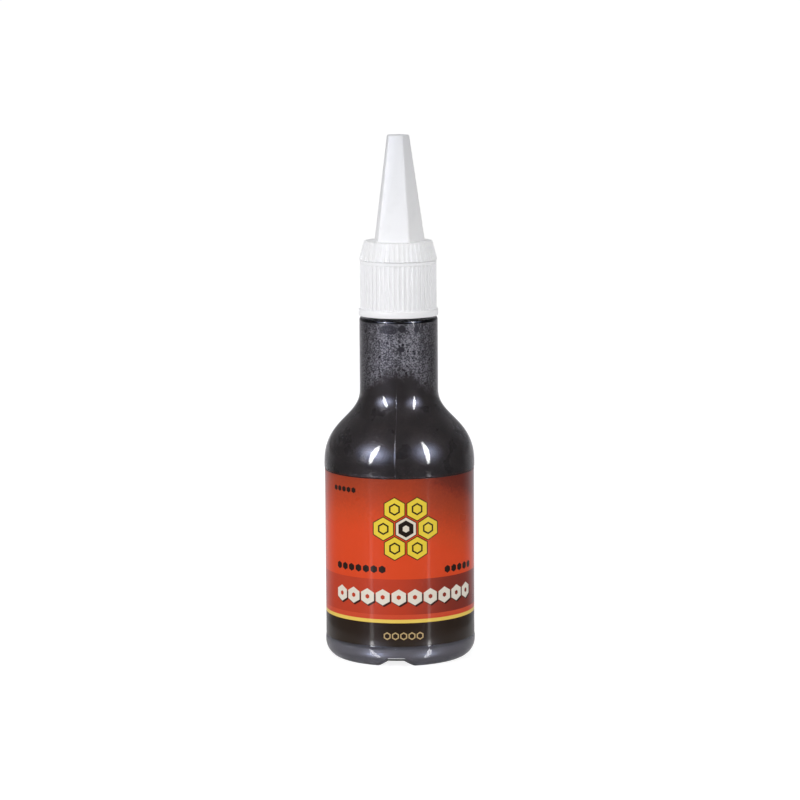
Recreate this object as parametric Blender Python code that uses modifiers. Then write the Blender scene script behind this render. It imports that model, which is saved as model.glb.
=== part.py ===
"""Graphite powder in a clear 80 ml bottle, with a wrap label, a screw collar, a nozzle and an overcap.

Blender 4.5, metres, +Z up. The origin is the middle of the plane that the bottle stands on, and the front of
the label looks along -Y. Outlines are lists of (radius, height) points, and a turned piece is its outline
swept round Z.
"""

import math

import bmesh
import bpy
from mathutils import Matrix, Vector

# Bottle, outside
BODY_DIAMETER = 0.0421
BODY_HEIGHT = 0.0550          # standing plane to where the shoulder starts
SHOULDER_HEIGHT = 0.0205
SHOULDER_HANDLE = 0.0120      # how far the body's line carries on before the shoulder leans in
NECK_HANDLE = 0.0081          # how far the neck's line carries on before it flares out
NECK_DIAMETER = 0.0219
NECK_HEIGHT = 0.0205
NECK_EDGE_RADIUS = 0.0010
HEEL_RADIUS = 0.0040          # how far the heel curves in, down to the flat ring
HEEL_HEIGHT = 0.0046
FOOT_RING_WIDTH = 0.0017      # the flat ring that the bottle stands on
PUSH_UP = 0.0012              # how far the middle of the base is domed in

# Bottle, wall and mouth
WALL = 0.0008
FINISH_HEIGHT = 0.0127        # the threaded mouth above the neck
FINISH_DIAMETER = 0.0156      # root of the thread
THREAD_DIAMETER = 0.0177      # crest of the thread
BORE_DIAMETER = 0.0125
LIP_CHAMFER = 0.0004
LEDGE_DROP = 0.0030           # height over which the wall narrows from the neck to the mouth

# Thread, shared by the bottle and the collar
THREAD_PITCH = 0.003175
THREAD_TURNS = 2.0
COLLAR_THREAD_TURNS = 1.5
THREAD_START = 0.0026         # from the top of the neck up to the thread's lower end
THREAD_ROOT_WIDTH = 0.0020
THREAD_CREST_WIDTH = 0.0009
THREAD_SIDE_CLEARANCE = 0.00035
THREAD_SUNK = 0.0004          # how deep a thread's foot is buried in the wall that carries it
THREAD_RUN_OUT = math.radians(40)

# Relief channel that keeps the weld of the base off the table, along the mould's parting plane
PARTING_TURN = math.radians(-3.5)
CHANNEL_WIDTH = 0.0106        # at the standing plane
CHANNEL_TOP_WIDTH = 0.0044
CHANNEL_DEPTH = 0.00215

# Label and its recessed panel
LABEL_START = 0.00625         # lower edge above the standing plane
LABEL_TOP_GAP = 0.0019        # from the label's upper edge up to the shoulder
LABEL_THICKNESS = 0.00012
LABEL_SEAM = 0.0020           # bare strip at the back between the label's two ends
PANEL_DEPTH = 0.00045
PANEL_MARGIN = 0.0003

# Powder
POWDER_IN_NECK = 0.0002       # how far above the foot of the neck the powder meets the wall
POWDER_HEAP = 0.0062

# Collar
COLLAR_WALL = 0.00115         # from the bore to the bottom of the grooves
COLLAR_TOP_THICKNESS = 0.0012
COLLAR_FLANGE_STEP = 0.00045
COLLAR_FLANGE_HEIGHT = 0.0015
COLLAR_PLAIN_BAND = 0.0009    # smooth edge above the ribs
COLLAR_CHAMFER = 0.0003
COLLAR_LEAD_IN = 0.0005       # widening of the bore at its mouth
RIB_COUNT = 48                # on the collar and on the overcap
RIB_DEPTH = 0.00035

# Nozzle
NOZZLE_FLANGE_THICKNESS = 0.0012
NOZZLE_LEDGE = 0.00085        # how far the flange reaches out past the boss
NOZZLE_BEAD = 0.0006          # lip above the collar that keeps the two together
NOZZLE_BEAD_HEIGHT = 0.0011
NOZZLE_WALL = 0.00075
PLUG_LENGTH = 0.0046
PLUG_WALL = 0.0009
SPOUT_TIP_DROP = 0.0039       # from the top of the overcap down to the tip of the spout
SPOUT_TIP_CHAMFER = 0.0002

# Overcap
SKIRT_HEIGHT = 0.0050
SKIRT_WALL = 0.00165
SKIRT_DRAW_IN = 0.0013        # how much narrower the skirt is at the deck
DECK_THICKNESS = 0.0011
POINT_HEIGHT = 0.0294
POINT_BASE_RADIUS = 0.00765   # to the corners of the five-sided point, at the deck
POINT_TOP_RADIUS = 0.0034
POINT_WALL = 0.0010
POINT_TOP_WALL = 0.0014
POINT_EDGE_RADIUS = 0.00045
POINT_FACES = 5
POINT_TURN = math.radians(5.6)
PIN_ENTRY = 0.0016            # how far the sealing pin enters the spout

# Clearances
FIT_CLEARANCE = 0.0003        # between the pieces of the closure, and at the bottle's mouth
SPOUT_CLEARANCE = 0.0005      # round the spout, inside the overcap's point
LABEL_CLEARANCE = 0.0002
POWDER_CLEARANCE = 0.0003

# Smoothness
BOTTLE_STEPS = 56
LABEL_STEPS = 64
POWDER_STEPS = 40
CLOSURE_STEPS = 36
THREAD_STEPS = 28             # to each turn
CURVE_STEPS = 8
ARC_STEPS = 4
MERGE_DISTANCE = 0.00001
SHARP_ANGLE = math.radians(35)
OVERSHOOT = 0.001             # how far a cutter stands out of what it cuts

# Heights above the standing plane
LABEL_TOP_Z = BODY_HEIGHT - LABEL_TOP_GAP
SHOULDER_TOP_Z = BODY_HEIGHT + SHOULDER_HEIGHT
NECK_TOP_Z = SHOULDER_TOP_Z + NECK_HEIGHT
LIP_Z = NECK_TOP_Z + FINISH_HEIGHT
COLLAR_BOTTOM_Z = NECK_TOP_Z + FIT_CLEARANCE
FLANGE_Z = LIP_Z + FIT_CLEARANCE
FLANGE_TOP_Z = FLANGE_Z + NOZZLE_FLANGE_THICKNESS
COLLAR_PLATE_Z = FLANGE_TOP_Z + FIT_CLEARANCE
COLLAR_TOP_Z = COLLAR_PLATE_Z + COLLAR_TOP_THICKNESS
SKIRT_BOTTOM_Z = COLLAR_TOP_Z + FIT_CLEARANCE
BEAD_TOP_Z = SKIRT_BOTTOM_Z + NOZZLE_BEAD_HEIGHT
DECK_Z = SKIRT_BOTTOM_Z + SKIRT_HEIGHT
DECK_UNDERSIDE_Z = DECK_Z - DECK_THICKNESS
BOSS_TOP_Z = DECK_UNDERSIDE_Z - FIT_CLEARANCE
POINT_TOP_Z = DECK_Z + POINT_HEIGHT
CAVITY_TOP_Z = POINT_TOP_Z - POINT_TOP_WALL
SPOUT_TOP_Z = POINT_TOP_Z - SPOUT_TIP_DROP

# Radii
BODY_R = BODY_DIAMETER / 2
NECK_R = NECK_DIAMETER / 2
PANEL_R = BODY_R - PANEL_DEPTH
LABEL_R = PANEL_R + LABEL_CLEARANCE + LABEL_THICKNESS
FINISH_R = FINISH_DIAMETER / 2
THREAD_R = THREAD_DIAMETER / 2
BORE_R = BORE_DIAMETER / 2
COLLAR_BORE_R = THREAD_R + FIT_CLEARANCE
COLLAR_R = COLLAR_BORE_R + COLLAR_WALL + RIB_DEPTH
NOZZLE_FLANGE_R = COLLAR_BORE_R - FIT_CLEARANCE
BOSS_R = NOZZLE_FLANGE_R - NOZZLE_LEDGE
BOSS_HOLE_R = BOSS_R + FIT_CLEARANCE
BEAD_R = BOSS_R + NOZZLE_BEAD
PLUG_R = BORE_R - FIT_CLEARANCE
SKIRT_BORE_R = BEAD_R + FIT_CLEARANCE
SKIRT_R = SKIRT_BORE_R + SKIRT_WALL + RIB_DEPTH
DECK_R = SKIRT_R - SKIRT_DRAW_IN


def new_collection(name):
    collection = bpy.data.collections.new(name)
    bpy.context.scene.collection.children.link(collection)
    return collection


def principled(name, colour, roughness, transmission=0.0, ior=1.5, metallic=0.0):
    material = bpy.data.materials.new(name)
    material.use_nodes = True
    shader = material.node_tree.nodes["Principled BSDF"]
    shader.inputs["Base Color"].default_value = (*colour, 1.0)
    shader.inputs["Roughness"].default_value = roughness
    shader.inputs["Metallic"].default_value = metallic
    shader.inputs["Transmission Weight"].default_value = transmission
    shader.inputs["IOR"].default_value = ior
    material.diffuse_color = (*colour, 1.0)
    return material


def add_piece(name, mesh, material):
    obj = bpy.data.objects.new(name, mesh)
    pieces.objects.link(obj)
    mesh.materials.append(material)
    return obj


def add_helper(name, mesh):
    """A cutter, or a shape that is joined to a piece."""
    obj = bpy.data.objects.new(name, mesh)
    helpers.objects.link(obj)
    obj.hide_render = True
    obj.display_type = "WIRE"
    return obj


def add_axis(name, height, parent=None):
    """An empty on the bottle's axis that carries what moves along it or turns about it."""
    empty = bpy.data.objects.new(name, None)
    empty.empty_display_type = "ARROWS"
    empty.empty_display_size = 0.01
    pieces.objects.link(empty)
    empty.location.z = height - (parent["height"] if parent else 0.0)
    empty["height"] = height
    empty.parent = parent
    return empty


def carry(obj, empty):
    """Parents a piece and leaves it where it is."""
    obj.parent = empty
    obj.matrix_parent_inverse = Matrix.Translation((0.0, 0.0, -empty["height"]))


def bezier(start, start_handle, end_handle, end, steps):
    """Points of a cubic curve, both ends included."""
    points = []
    for step in range(steps + 1):
        t = step / steps
        weights = ((1 - t) ** 3, 3 * t * (1 - t) ** 2, 3 * t * t * (1 - t), t ** 3)
        place = sum((weight * Vector(corner) for weight, corner in
                     zip(weights, (start, start_handle, end_handle, end))), Vector((0.0, 0.0)))
        points.append(tuple(place))
    return points


def arc(centre, radius, start_angle, end_angle, steps):
    """Points of an arc. Angles run from the outward direction towards the upward one."""
    points = []
    for step in range(steps + 1):
        angle = start_angle + (end_angle - start_angle) * step / steps
        points.append((centre[0] + radius * math.cos(angle), centre[1] + radius * math.sin(angle)))
    return points


def inset(outline, distance):
    """Moves an outline that runs down the outside, and in along the base, into the wall."""
    normals = []
    for first, second in zip(outline, outline[1:]):
        along = Vector(second) - Vector(first)
        normals.append(Vector((along.y, -along.x)).normalized())
    moved = []
    for index, point in enumerate(outline):
        before = normals[max(index - 1, 0)]
        after = normals[min(index, len(normals) - 1)]
        middle = (before + after).normalized()
        place = Vector(point) + middle * (distance / middle.dot(before))
        moved.append((place.x if point[0] > 0.0 else 0.0, place.y))
    return moved


def outline_mesh(name, outline):
    mesh = bpy.data.meshes.new(name)
    edges = [(index, index + 1) for index in range(len(outline) - 1)]
    mesh.from_pydata([(radius, 0.0, height) for radius, height in outline], edges, [])
    return mesh


def turn(obj, steps, angle=math.tau):
    """Sweeps an outline round Z."""
    screw = obj.modifiers.new("Turn", "SCREW")
    screw.axis = "Z"
    screw.angle = angle
    screw.steps = steps
    screw.render_steps = steps
    screw.use_merge_vertices = True
    screw.merge_threshold = MERGE_DISTANCE
    return obj


def turned_helper(name, outline, steps):
    return turn(add_helper(name, outline_mesh(name, outline)), steps)


def combine(target, other, operation):
    boolean = target.modifiers.new(f"{operation.title()} {other.name}", "BOOLEAN")
    boolean.operation = operation
    boolean.object = other


def evaluated_mesh(obj):
    """The mesh that an object's modifiers make, with the modifiers taken off."""
    graph = bpy.context.evaluated_depsgraph_get()
    mesh = bpy.data.meshes.new_from_object(obj.evaluated_get(graph), depsgraph=graph)
    obj.modifiers.clear()
    return mesh


def ribbed(obj, low_z, high_z):
    """Turns a blank and sinks every second column of its outer points, which leaves the ribs."""
    turn(obj, 2 * RIB_COUNT)
    obj.data = evaluated_mesh(obj)
    for vertex in obj.data.vertices:
        radius = vertex.co.xy.length
        if radius < RIB_DEPTH or not low_z < vertex.co.z < high_z:
            continue
        column = round(math.atan2(vertex.co.y, vertex.co.x) * RIB_COUNT / math.pi)
        if column % 2:
            vertex.co.xy *= (radius - RIB_DEPTH) / radius
    return obj


def bottle_thread_width(radius):
    """Width of the bottle's thread at a radius."""
    share = (radius - FINISH_R) / (THREAD_R - FINISH_R)
    return THREAD_ROOT_WIDTH + (THREAD_CREST_WIDTH - THREAD_ROOT_WIDTH) * share


def collar_thread_width(radius):
    """What the bottle's thread and the clearances leave of the pitch."""
    return THREAD_PITCH - bottle_thread_width(radius) - 2 * THREAD_SIDE_CLEARANCE


def thread_ridge(name, wall_radius, crest_radius, width_at, start_z, turns):
    """A helical ridge. Its foot is buried in the wall, and its crest sinks into the wall at both ends."""
    into_wall = math.copysign(THREAD_SUNK, wall_radius - crest_radius)
    foot_radius = wall_radius + into_wall
    sunk_crest = wall_radius + into_wall / 2
    steps = round(THREAD_STEPS * turns)
    length = math.tau * turns
    ridge = bmesh.new()
    rings = []
    for step in range(steps + 1):
        angle = length * step / steps
        share = min(1.0, min(angle, length - angle) / THREAD_RUN_OUT)
        crest = sunk_crest + (crest_radius - sunk_crest) * share
        height = start_z + THREAD_PITCH * angle / math.tau
        section = (
            (foot_radius, -width_at(foot_radius) / 2),
            (crest, -width_at(crest) / 2),
            (crest, width_at(crest) / 2),
            (foot_radius, width_at(foot_radius) / 2),
        )
        rings.append([
            ridge.verts.new((radius * math.cos(angle), radius * math.sin(angle), height + rise))
            for radius, rise in section
        ])
    for first, second in zip(rings, rings[1:]):
        for corner in range(4):
            following = (corner + 1) % 4
            ridge.faces.new((first[corner], first[following], second[following], second[corner]))
    ridge.faces.new(rings[0])
    ridge.faces.new(rings[-1])
    bmesh.ops.recalc_face_normals(ridge, faces=ridge.faces)
    mesh = bpy.data.meshes.new(name)
    ridge.to_mesh(mesh)
    ridge.free()
    return add_helper(name, mesh)


def channel_bar(name, rise):
    """A bar with the section of the relief channel, lifted by a rise, along the parting plane."""
    spread = (CHANNEL_WIDTH - CHANNEL_TOP_WIDTH) / CHANNEL_DEPTH
    low, high = rise - OVERSHOOT, rise + CHANNEL_DEPTH
    bar = bmesh.new()
    bmesh.ops.create_cube(bar, size=1.0)
    for vertex in bar.verts:
        width = CHANNEL_TOP_WIDTH if vertex.co.z > 0 else CHANNEL_WIDTH + spread * OVERSHOOT
        vertex.co = Vector((
            vertex.co.x * width,
            vertex.co.y * 2 * (BODY_R + OVERSHOOT),
            high if vertex.co.z > 0 else low,
        ))
    bmesh.ops.rotate(bar, verts=bar.verts, matrix=Matrix.Rotation(PARTING_TURN, 3, "Z"))
    mesh = bpy.data.meshes.new(name)
    bar.to_mesh(mesh)
    bar.free()
    return add_helper(name, mesh)


def point_radius(height):
    """Radius to the corners of the overcap's point."""
    share = (height - DECK_Z) / POINT_HEIGHT
    return POINT_BASE_RADIUS + (POINT_TOP_RADIUS - POINT_BASE_RADIUS) * share


def point_flat_radius(height):
    """Distance from the axis to the flats of the overcap's point."""
    return point_radius(height) * math.cos(math.pi / POINT_FACES)


def spout_radius(height):
    """The spout follows the inside of the point."""
    return point_flat_radius(height) - POINT_WALL - SPOUT_CLEARANCE


def faceted_point(name, low_z, high_z, wall):
    """A stretch of the five-sided point, with its flats moved in by a wall."""
    corner_inset = wall / math.cos(math.pi / POINT_FACES)
    cone = bmesh.new()
    bmesh.ops.create_cone(
        cone,
        cap_ends=True,
        segments=POINT_FACES,
        radius1=point_radius(low_z) - corner_inset,
        radius2=point_radius(high_z) - corner_inset,
        depth=high_z - low_z,
        matrix=Matrix.Translation((0.0, 0.0, (low_z + high_z) / 2)),
    )
    # The first corner of a cone lies on +Y.
    turned = Matrix.Rotation(POINT_TURN - math.pi / 2, 3, "Z")
    bmesh.ops.rotate(cone, verts=cone.verts, matrix=turned)
    mesh = bpy.data.meshes.new(name)
    cone.to_mesh(mesh)
    cone.free()
    return add_helper(name, mesh)


def shoulder_line(body_radius):
    return bezier(
        (NECK_R, SHOULDER_TOP_Z),
        (NECK_R, SHOULDER_TOP_Z - NECK_HANDLE),
        (body_radius, BODY_HEIGHT + SHOULDER_HANDLE),
        (body_radius, BODY_HEIGHT),
        CURVE_STEPS,
    )


def base_line(body_radius):
    """The heel, the flat ring and the domed middle."""
    ring_outer = body_radius - HEEL_RADIUS
    ring_inner = ring_outer - FOOT_RING_WIDTH
    round_heel = arc((ring_outer, HEEL_RADIUS), HEEL_RADIUS, 0.0, -math.pi / 2, ARC_STEPS)
    heel = [(radius, height * HEEL_HEIGHT / HEEL_RADIUS) for radius, height in round_heel]
    dome = bezier((ring_inner, 0.0), (ring_inner * 0.8, PUSH_UP), (ring_inner * 0.4, PUSH_UP),
                  (0.0, PUSH_UP), ARC_STEPS)
    return heel + dome


def inner_line(top_z, distance):
    """The inside of the bottle, or the skin of its fill, from a height in the neck to the axis."""
    return inset([(NECK_R, top_z)] + shoulder_line(PANEL_R) + base_line(PANEL_R), distance)


def build_bottle(material):
    finish = [
        (FINISH_R - LIP_CHAMFER, LIP_Z),
        (FINISH_R, LIP_Z - LIP_CHAMFER),
        (FINISH_R, NECK_TOP_Z),
    ]
    neck_edge = arc((NECK_R - NECK_EDGE_RADIUS, NECK_TOP_Z - NECK_EDGE_RADIUS), NECK_EDGE_RADIUS,
                    math.pi / 2, 0.0, ARC_STEPS)
    panel_top = LABEL_TOP_Z + PANEL_MARGIN
    panel_bottom = LABEL_START - PANEL_MARGIN
    panel = [
        (BODY_R, panel_top + PANEL_DEPTH),
        (PANEL_R, panel_top),
        (PANEL_R, panel_bottom),
        (BODY_R, panel_bottom - PANEL_DEPTH),
    ]
    outside = finish + neck_edge + shoulder_line(BODY_R) + panel + base_line(BODY_R)
    inside = [
        (BORE_R, LIP_Z),
        (BORE_R, NECK_TOP_Z - FIT_CLEARANCE),
    ] + inner_line(NECK_TOP_Z - LEDGE_DROP, WALL)
    bottle = add_piece("bottle", outline_mesh("bottle", inside[::-1] + outside), material)
    turn(bottle, BOTTLE_STEPS)

    thread = thread_ridge("bottle_thread", FINISH_R, THREAD_R, bottle_thread_width,
                          NECK_TOP_Z + THREAD_START, THREAD_TURNS)
    combine(bottle, thread, "UNION")

    # The wall rises over the channel inside the bottle, and ends in the middle of the heel's wall.
    core_outline = inset([(PANEL_R, BODY_HEIGHT)] + base_line(PANEL_R), WALL / 2)
    core = turned_helper("heel_core", [(0.0, BODY_HEIGHT)] + core_outline, BOTTLE_STEPS)
    ridge = channel_bar("channel_ridge", WALL)
    combine(ridge, core, "INTERSECT")
    combine(bottle, ridge, "UNION")
    combine(bottle, channel_bar("channel_cutter", 0.0), "DIFFERENCE")
    return bottle


def build_powder(material):
    edge_z = SHOULDER_TOP_Z + POWDER_IN_NECK
    skin = inner_line(edge_z, WALL + POWDER_CLEARANCE)
    edge_r = skin[0][0]
    heap = bezier((0.0, edge_z + POWDER_HEAP), (edge_r * 0.3, edge_z + POWDER_HEAP),
                  (edge_r * 0.7, edge_z + POWDER_HEAP * 0.3), (edge_r, edge_z), CURVE_STEPS)
    powder = add_piece("graphite_powder", outline_mesh("graphite_powder", heap[:-1] + skin), material)
    turn(powder, POWDER_STEPS)
    combine(powder, channel_bar("powder_channel", WALL + 1.5 * POWDER_CLEARANCE), "DIFFERENCE")
    return powder


def build_label(material):
    outline = [(LABEL_R, LABEL_TOP_Z), (LABEL_R, LABEL_START)]
    label = add_piece("label", outline_mesh("label", outline), material)
    seam_angle = LABEL_SEAM / LABEL_R
    turn(label, LABEL_STEPS, math.tau - seam_angle)
    wall = label.modifiers.new("Thickness", "SOLIDIFY")
    wall.thickness = LABEL_THICKNESS
    wall.offset = -1.0
    wall.use_even_offset = True
    label.rotation_euler.z = math.pi / 2 + seam_angle / 2
    return label


def build_nozzle(material):
    tip_r = spout_radius(SPOUT_TOP_Z)
    base_r = spout_radius(BOSS_TOP_Z)
    bead_low_z = COLLAR_TOP_Z + FIT_CLEARANCE
    bead_slope = NOZZLE_BEAD / 2
    outside = [
        (tip_r - SPOUT_TIP_CHAMFER, SPOUT_TOP_Z),
        (tip_r, SPOUT_TOP_Z - SPOUT_TIP_CHAMFER),
        (base_r, BOSS_TOP_Z),
        (BOSS_R - NOZZLE_BEAD, BOSS_TOP_Z),
        (BOSS_R, BOSS_TOP_Z - NOZZLE_BEAD),
        (BOSS_R, BEAD_TOP_Z),
        (BEAD_R, BEAD_TOP_Z - bead_slope),
        (BEAD_R, bead_low_z + bead_slope),
        (BOSS_R, bead_low_z),
        (BOSS_R, FLANGE_TOP_Z),
        (NOZZLE_FLANGE_R, FLANGE_TOP_Z),
        (NOZZLE_FLANGE_R, FLANGE_Z),
        (PLUG_R, FLANGE_Z),
        (PLUG_R, FLANGE_Z - PLUG_LENGTH + FIT_CLEARANCE),
        (PLUG_R - FIT_CLEARANCE, FLANGE_Z - PLUG_LENGTH),
    ]
    inside = [
        (tip_r - NOZZLE_WALL, SPOUT_TOP_Z),
        (base_r - NOZZLE_WALL, BOSS_TOP_Z),
        (PLUG_R - PLUG_WALL, FLANGE_Z),
        (PLUG_R - PLUG_WALL, FLANGE_Z - PLUG_LENGTH),
    ]
    outline = inside[::-1] + outside + [inside[-1]]
    nozzle = add_piece("nozzle", outline_mesh("nozzle", outline), material)
    turn(nozzle, CLOSURE_STEPS)
    return nozzle


def build_collar(material):
    ribs_top_z = COLLAR_TOP_Z - COLLAR_PLAIN_BAND
    ribs_bottom_z = COLLAR_BOTTOM_Z + COLLAR_FLANGE_HEIGHT
    flange_r = COLLAR_R + COLLAR_FLANGE_STEP
    blank = [
        (0.0, COLLAR_TOP_Z),
        (COLLAR_R - COLLAR_CHAMFER, COLLAR_TOP_Z),
        (COLLAR_R, COLLAR_TOP_Z - COLLAR_CHAMFER),
        (COLLAR_R, ribs_top_z),
        (COLLAR_R, ribs_top_z - RIB_DEPTH),
        (COLLAR_R, ribs_bottom_z + COLLAR_FLANGE_STEP),
        (flange_r, ribs_bottom_z),
        (flange_r, COLLAR_BOTTOM_Z),
        (0.0, COLLAR_BOTTOM_Z),
    ]
    collar = add_piece("collar", outline_mesh("collar", blank), material)
    ribbed(collar, ribs_bottom_z + COLLAR_FLANGE_STEP / 2, ribs_top_z - RIB_DEPTH / 2)
    bore = turned_helper("collar_bore", [
        (0.0, COLLAR_TOP_Z + OVERSHOOT),
        (BOSS_HOLE_R, COLLAR_TOP_Z + OVERSHOOT),
        (BOSS_HOLE_R, COLLAR_PLATE_Z),
        (COLLAR_BORE_R, COLLAR_PLATE_Z),
        (COLLAR_BORE_R, COLLAR_BOTTOM_Z + COLLAR_LEAD_IN),
        (COLLAR_BORE_R + COLLAR_LEAD_IN, COLLAR_BOTTOM_Z),
        (COLLAR_BORE_R + COLLAR_LEAD_IN, COLLAR_BOTTOM_Z - OVERSHOOT),
        (0.0, COLLAR_BOTTOM_Z - OVERSHOOT),
    ], CLOSURE_STEPS)
    combine(collar, bore, "DIFFERENCE")
    thread = thread_ridge("collar_thread", COLLAR_BORE_R, FINISH_R + FIT_CLEARANCE, collar_thread_width,
                          NECK_TOP_Z + THREAD_START + THREAD_PITCH / 2, COLLAR_THREAD_TURNS)
    combine(collar, thread, "UNION")
    return collar


def build_overcap(material):
    ribs_top_z = DECK_Z - RIB_DEPTH
    blank = [
        (0.0, DECK_Z),
        (DECK_R, DECK_Z),
        (DECK_R + SKIRT_DRAW_IN * RIB_DEPTH / SKIRT_HEIGHT, ribs_top_z),
        (SKIRT_R, SKIRT_BOTTOM_Z),
        (0.0, SKIRT_BOTTOM_Z),
    ]
    overcap = add_piece("overcap", outline_mesh("overcap", blank), material)
    ribbed(overcap, SKIRT_BOTTOM_Z - OVERSHOOT, DECK_Z - RIB_DEPTH / 2)

    point = faceted_point("point", DECK_Z - DECK_THICKNESS / 2, POINT_TOP_Z, 0.0)
    rounding = point.modifiers.new("Rounded edges", "BEVEL")
    rounding.width = POINT_EDGE_RADIUS
    rounding.segments = 2
    combine(overcap, point, "UNION")

    skirt_bore = turned_helper("skirt_bore", [
        (0.0, DECK_UNDERSIDE_Z),
        (BOSS_HOLE_R, DECK_UNDERSIDE_Z),
        (SKIRT_BORE_R, BEAD_TOP_Z + FIT_CLEARANCE),
        (SKIRT_BORE_R, SKIRT_BOTTOM_Z - OVERSHOOT),
        (0.0, SKIRT_BOTTOM_Z - OVERSHOOT),
    ], CLOSURE_STEPS)
    combine(overcap, skirt_bore, "DIFFERENCE")
    combine(overcap, faceted_point("cavity", SKIRT_BOTTOM_Z, CAVITY_TOP_Z, POINT_WALL), "DIFFERENCE")

    pin_r = spout_radius(SPOUT_TOP_Z) - NOZZLE_WALL - FIT_CLEARANCE
    pin_bottom_z = SPOUT_TOP_Z - PIN_ENTRY
    pin = turned_helper("sealing_pin", [
        (0.0, CAVITY_TOP_Z + POINT_TOP_WALL / 2),
        (pin_r, CAVITY_TOP_Z + POINT_TOP_WALL / 2),
        (pin_r, pin_bottom_z + pin_r / 2),
        (pin_r / 2, pin_bottom_z),
        (0.0, pin_bottom_z),
    ], CLOSURE_STEPS // 3)
    combine(overcap, pin, "UNION")
    return overcap


for leftover in list(bpy.data.objects):
    bpy.data.objects.remove(leftover, do_unlink=True)
pieces = new_collection("graphite_powder_bottle")
helpers = new_collection("cutters")

build_bottle(principled("clear bottle plastic", (0.88, 0.90, 0.94), 0.06, transmission=1.0, ior=1.54))
build_label(principled("printed label", (0.56, 0.075, 0.035), 0.32))
build_powder(principled("graphite powder", (0.055, 0.052, 0.058), 0.55, metallic=0.3))
nozzle_piece = build_nozzle(principled("white nozzle plastic", (0.84, 0.84, 0.82), 0.40))
collar_piece = build_collar(principled("white collar plastic", (0.82, 0.82, 0.83), 0.38))
overcap_piece = build_overcap(principled("white overcap plastic", (0.84, 0.84, 0.84), 0.36))

bpy.context.view_layer.update()
for piece in pieces.objects:
    piece.data = evaluated_mesh(piece)
    piece.data.shade_smooth()
    piece.data.set_sharp_from_angle(angle=SHARP_ANGLE)

# Unscrewing turns the collar and lifts the nozzle with it, and the overcap pulls off the nozzle.
collar_rise = add_axis("collar_rise", LIP_Z)
carry(nozzle_piece, collar_rise)
carry(collar_piece, add_axis("collar_turn", COLLAR_BOTTOM_Z, collar_rise))
carry(overcap_piece, add_axis("overcap_lift", SKIRT_BOTTOM_Z, collar_rise))
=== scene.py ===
"""Looks of a clear 80 ml bottle of graphite powder, in metres, +Z up, the front of the label along -Y.

The sections follow the bottle as it is put together: the studio, the blown bottle, its fill, the dust in the
neck, the label, the nozzle, the collar and the overcap. Outlines are lists of (radius, height) points.
"""
import math

import bpy
from mathutils import Matrix, Vector


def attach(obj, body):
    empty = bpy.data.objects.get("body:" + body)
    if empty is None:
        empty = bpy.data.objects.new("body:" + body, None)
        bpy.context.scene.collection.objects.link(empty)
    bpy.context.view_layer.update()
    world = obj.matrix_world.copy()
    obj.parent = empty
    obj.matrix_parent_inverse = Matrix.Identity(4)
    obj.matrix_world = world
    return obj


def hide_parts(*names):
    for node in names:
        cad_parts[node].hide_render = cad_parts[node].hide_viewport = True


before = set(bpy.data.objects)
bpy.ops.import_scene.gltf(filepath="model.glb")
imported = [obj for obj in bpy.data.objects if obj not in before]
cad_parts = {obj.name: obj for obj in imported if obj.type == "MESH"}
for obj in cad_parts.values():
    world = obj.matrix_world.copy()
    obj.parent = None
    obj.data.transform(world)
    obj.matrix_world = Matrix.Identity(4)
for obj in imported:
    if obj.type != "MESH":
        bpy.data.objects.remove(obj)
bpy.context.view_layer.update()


# Studio: a white board, two tall softboxes either side of the lens, and dark cloth all round and on the
# table, which keeps the gloss of the bottle black between their reflections. The camera stands a little
# above the bottle.
AIM = Vector((0.00027, 0.0, 0.0722))
CAMERA_DISTANCE = 0.9156
CAMERA_ELEVATION = math.radians(8.09)
CAMERA_ROLL = math.radians(-0.35)
PICTURE_FOCAL_PIXELS = 3270.0
PICTURE_SIDE = 800
SENSOR_WIDTH = 36.0

FLOOR_RADIUS = 12.0
FLOOR_STEPS = 96
CLOTH_RADIUS = 1.6
CLOTH_EDGE_RADIUS = 0.056        # the board is bare up to here, so that the heel of the bottle mirrors it
CLOTH_LIGHT = 0.038              # in front of the bottle
CLOTH_LIGHT_BEHIND = 0.25
CLOTH_SHINE = 0.12
TENT_RINGS, TENT_STEPS = 12, 48
TENT_LIFT = 0.002
TABLE_CLOTH_Z = 0.0004
BOARD_SHINE = 0.75
ROOM_LIGHT = 0.47
WHITE_GLOW = 0.84

LAMP_CENTRE = Vector((0.0, 0.0, 0.06))


def linear(code):
    """A colour written as sRGB hex, turned to the linear one that shaders take."""
    shares = [int(code[place:place + 2], 16) / 255 for place in (1, 3, 5)]
    return [*(c / 12.92 if c <= 0.04045 else ((c + 0.055) / 1.055) ** 2.4 for c in shares), 1.0]


def shown(sockets):
    return [socket for socket in sockets if socket.enabled]


def add_node(tree, kind, sockets=None, **settings):
    """Adds a shader node, or a geometry one where its kind says so. A socket takes a plain value, another
    node's first output, or a chosen output."""
    made = tree.nodes.new(kind if kind.startswith("GeometryNode") else "ShaderNode" + kind)
    for name, value in settings.items():
        setattr(made, name, value)
    for key, value in (sockets or {}).items():
        inputs = shown(made.inputs)
        socket = inputs[key] if isinstance(key, int) else next(s for s in inputs if s.name == key)
        if isinstance(value, bpy.types.Node):
            tree.links.new(shown(value.outputs)[0], socket)
        elif isinstance(value, bpy.types.NodeSocket):
            tree.links.new(value, socket)
        else:
            socket.default_value = value
    return made


def new_material(name):
    """An empty material, and its tree."""
    made = bpy.data.materials.new(name)
    made.use_nodes = True
    made.node_tree.nodes.clear()
    return made, made.node_tree


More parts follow.
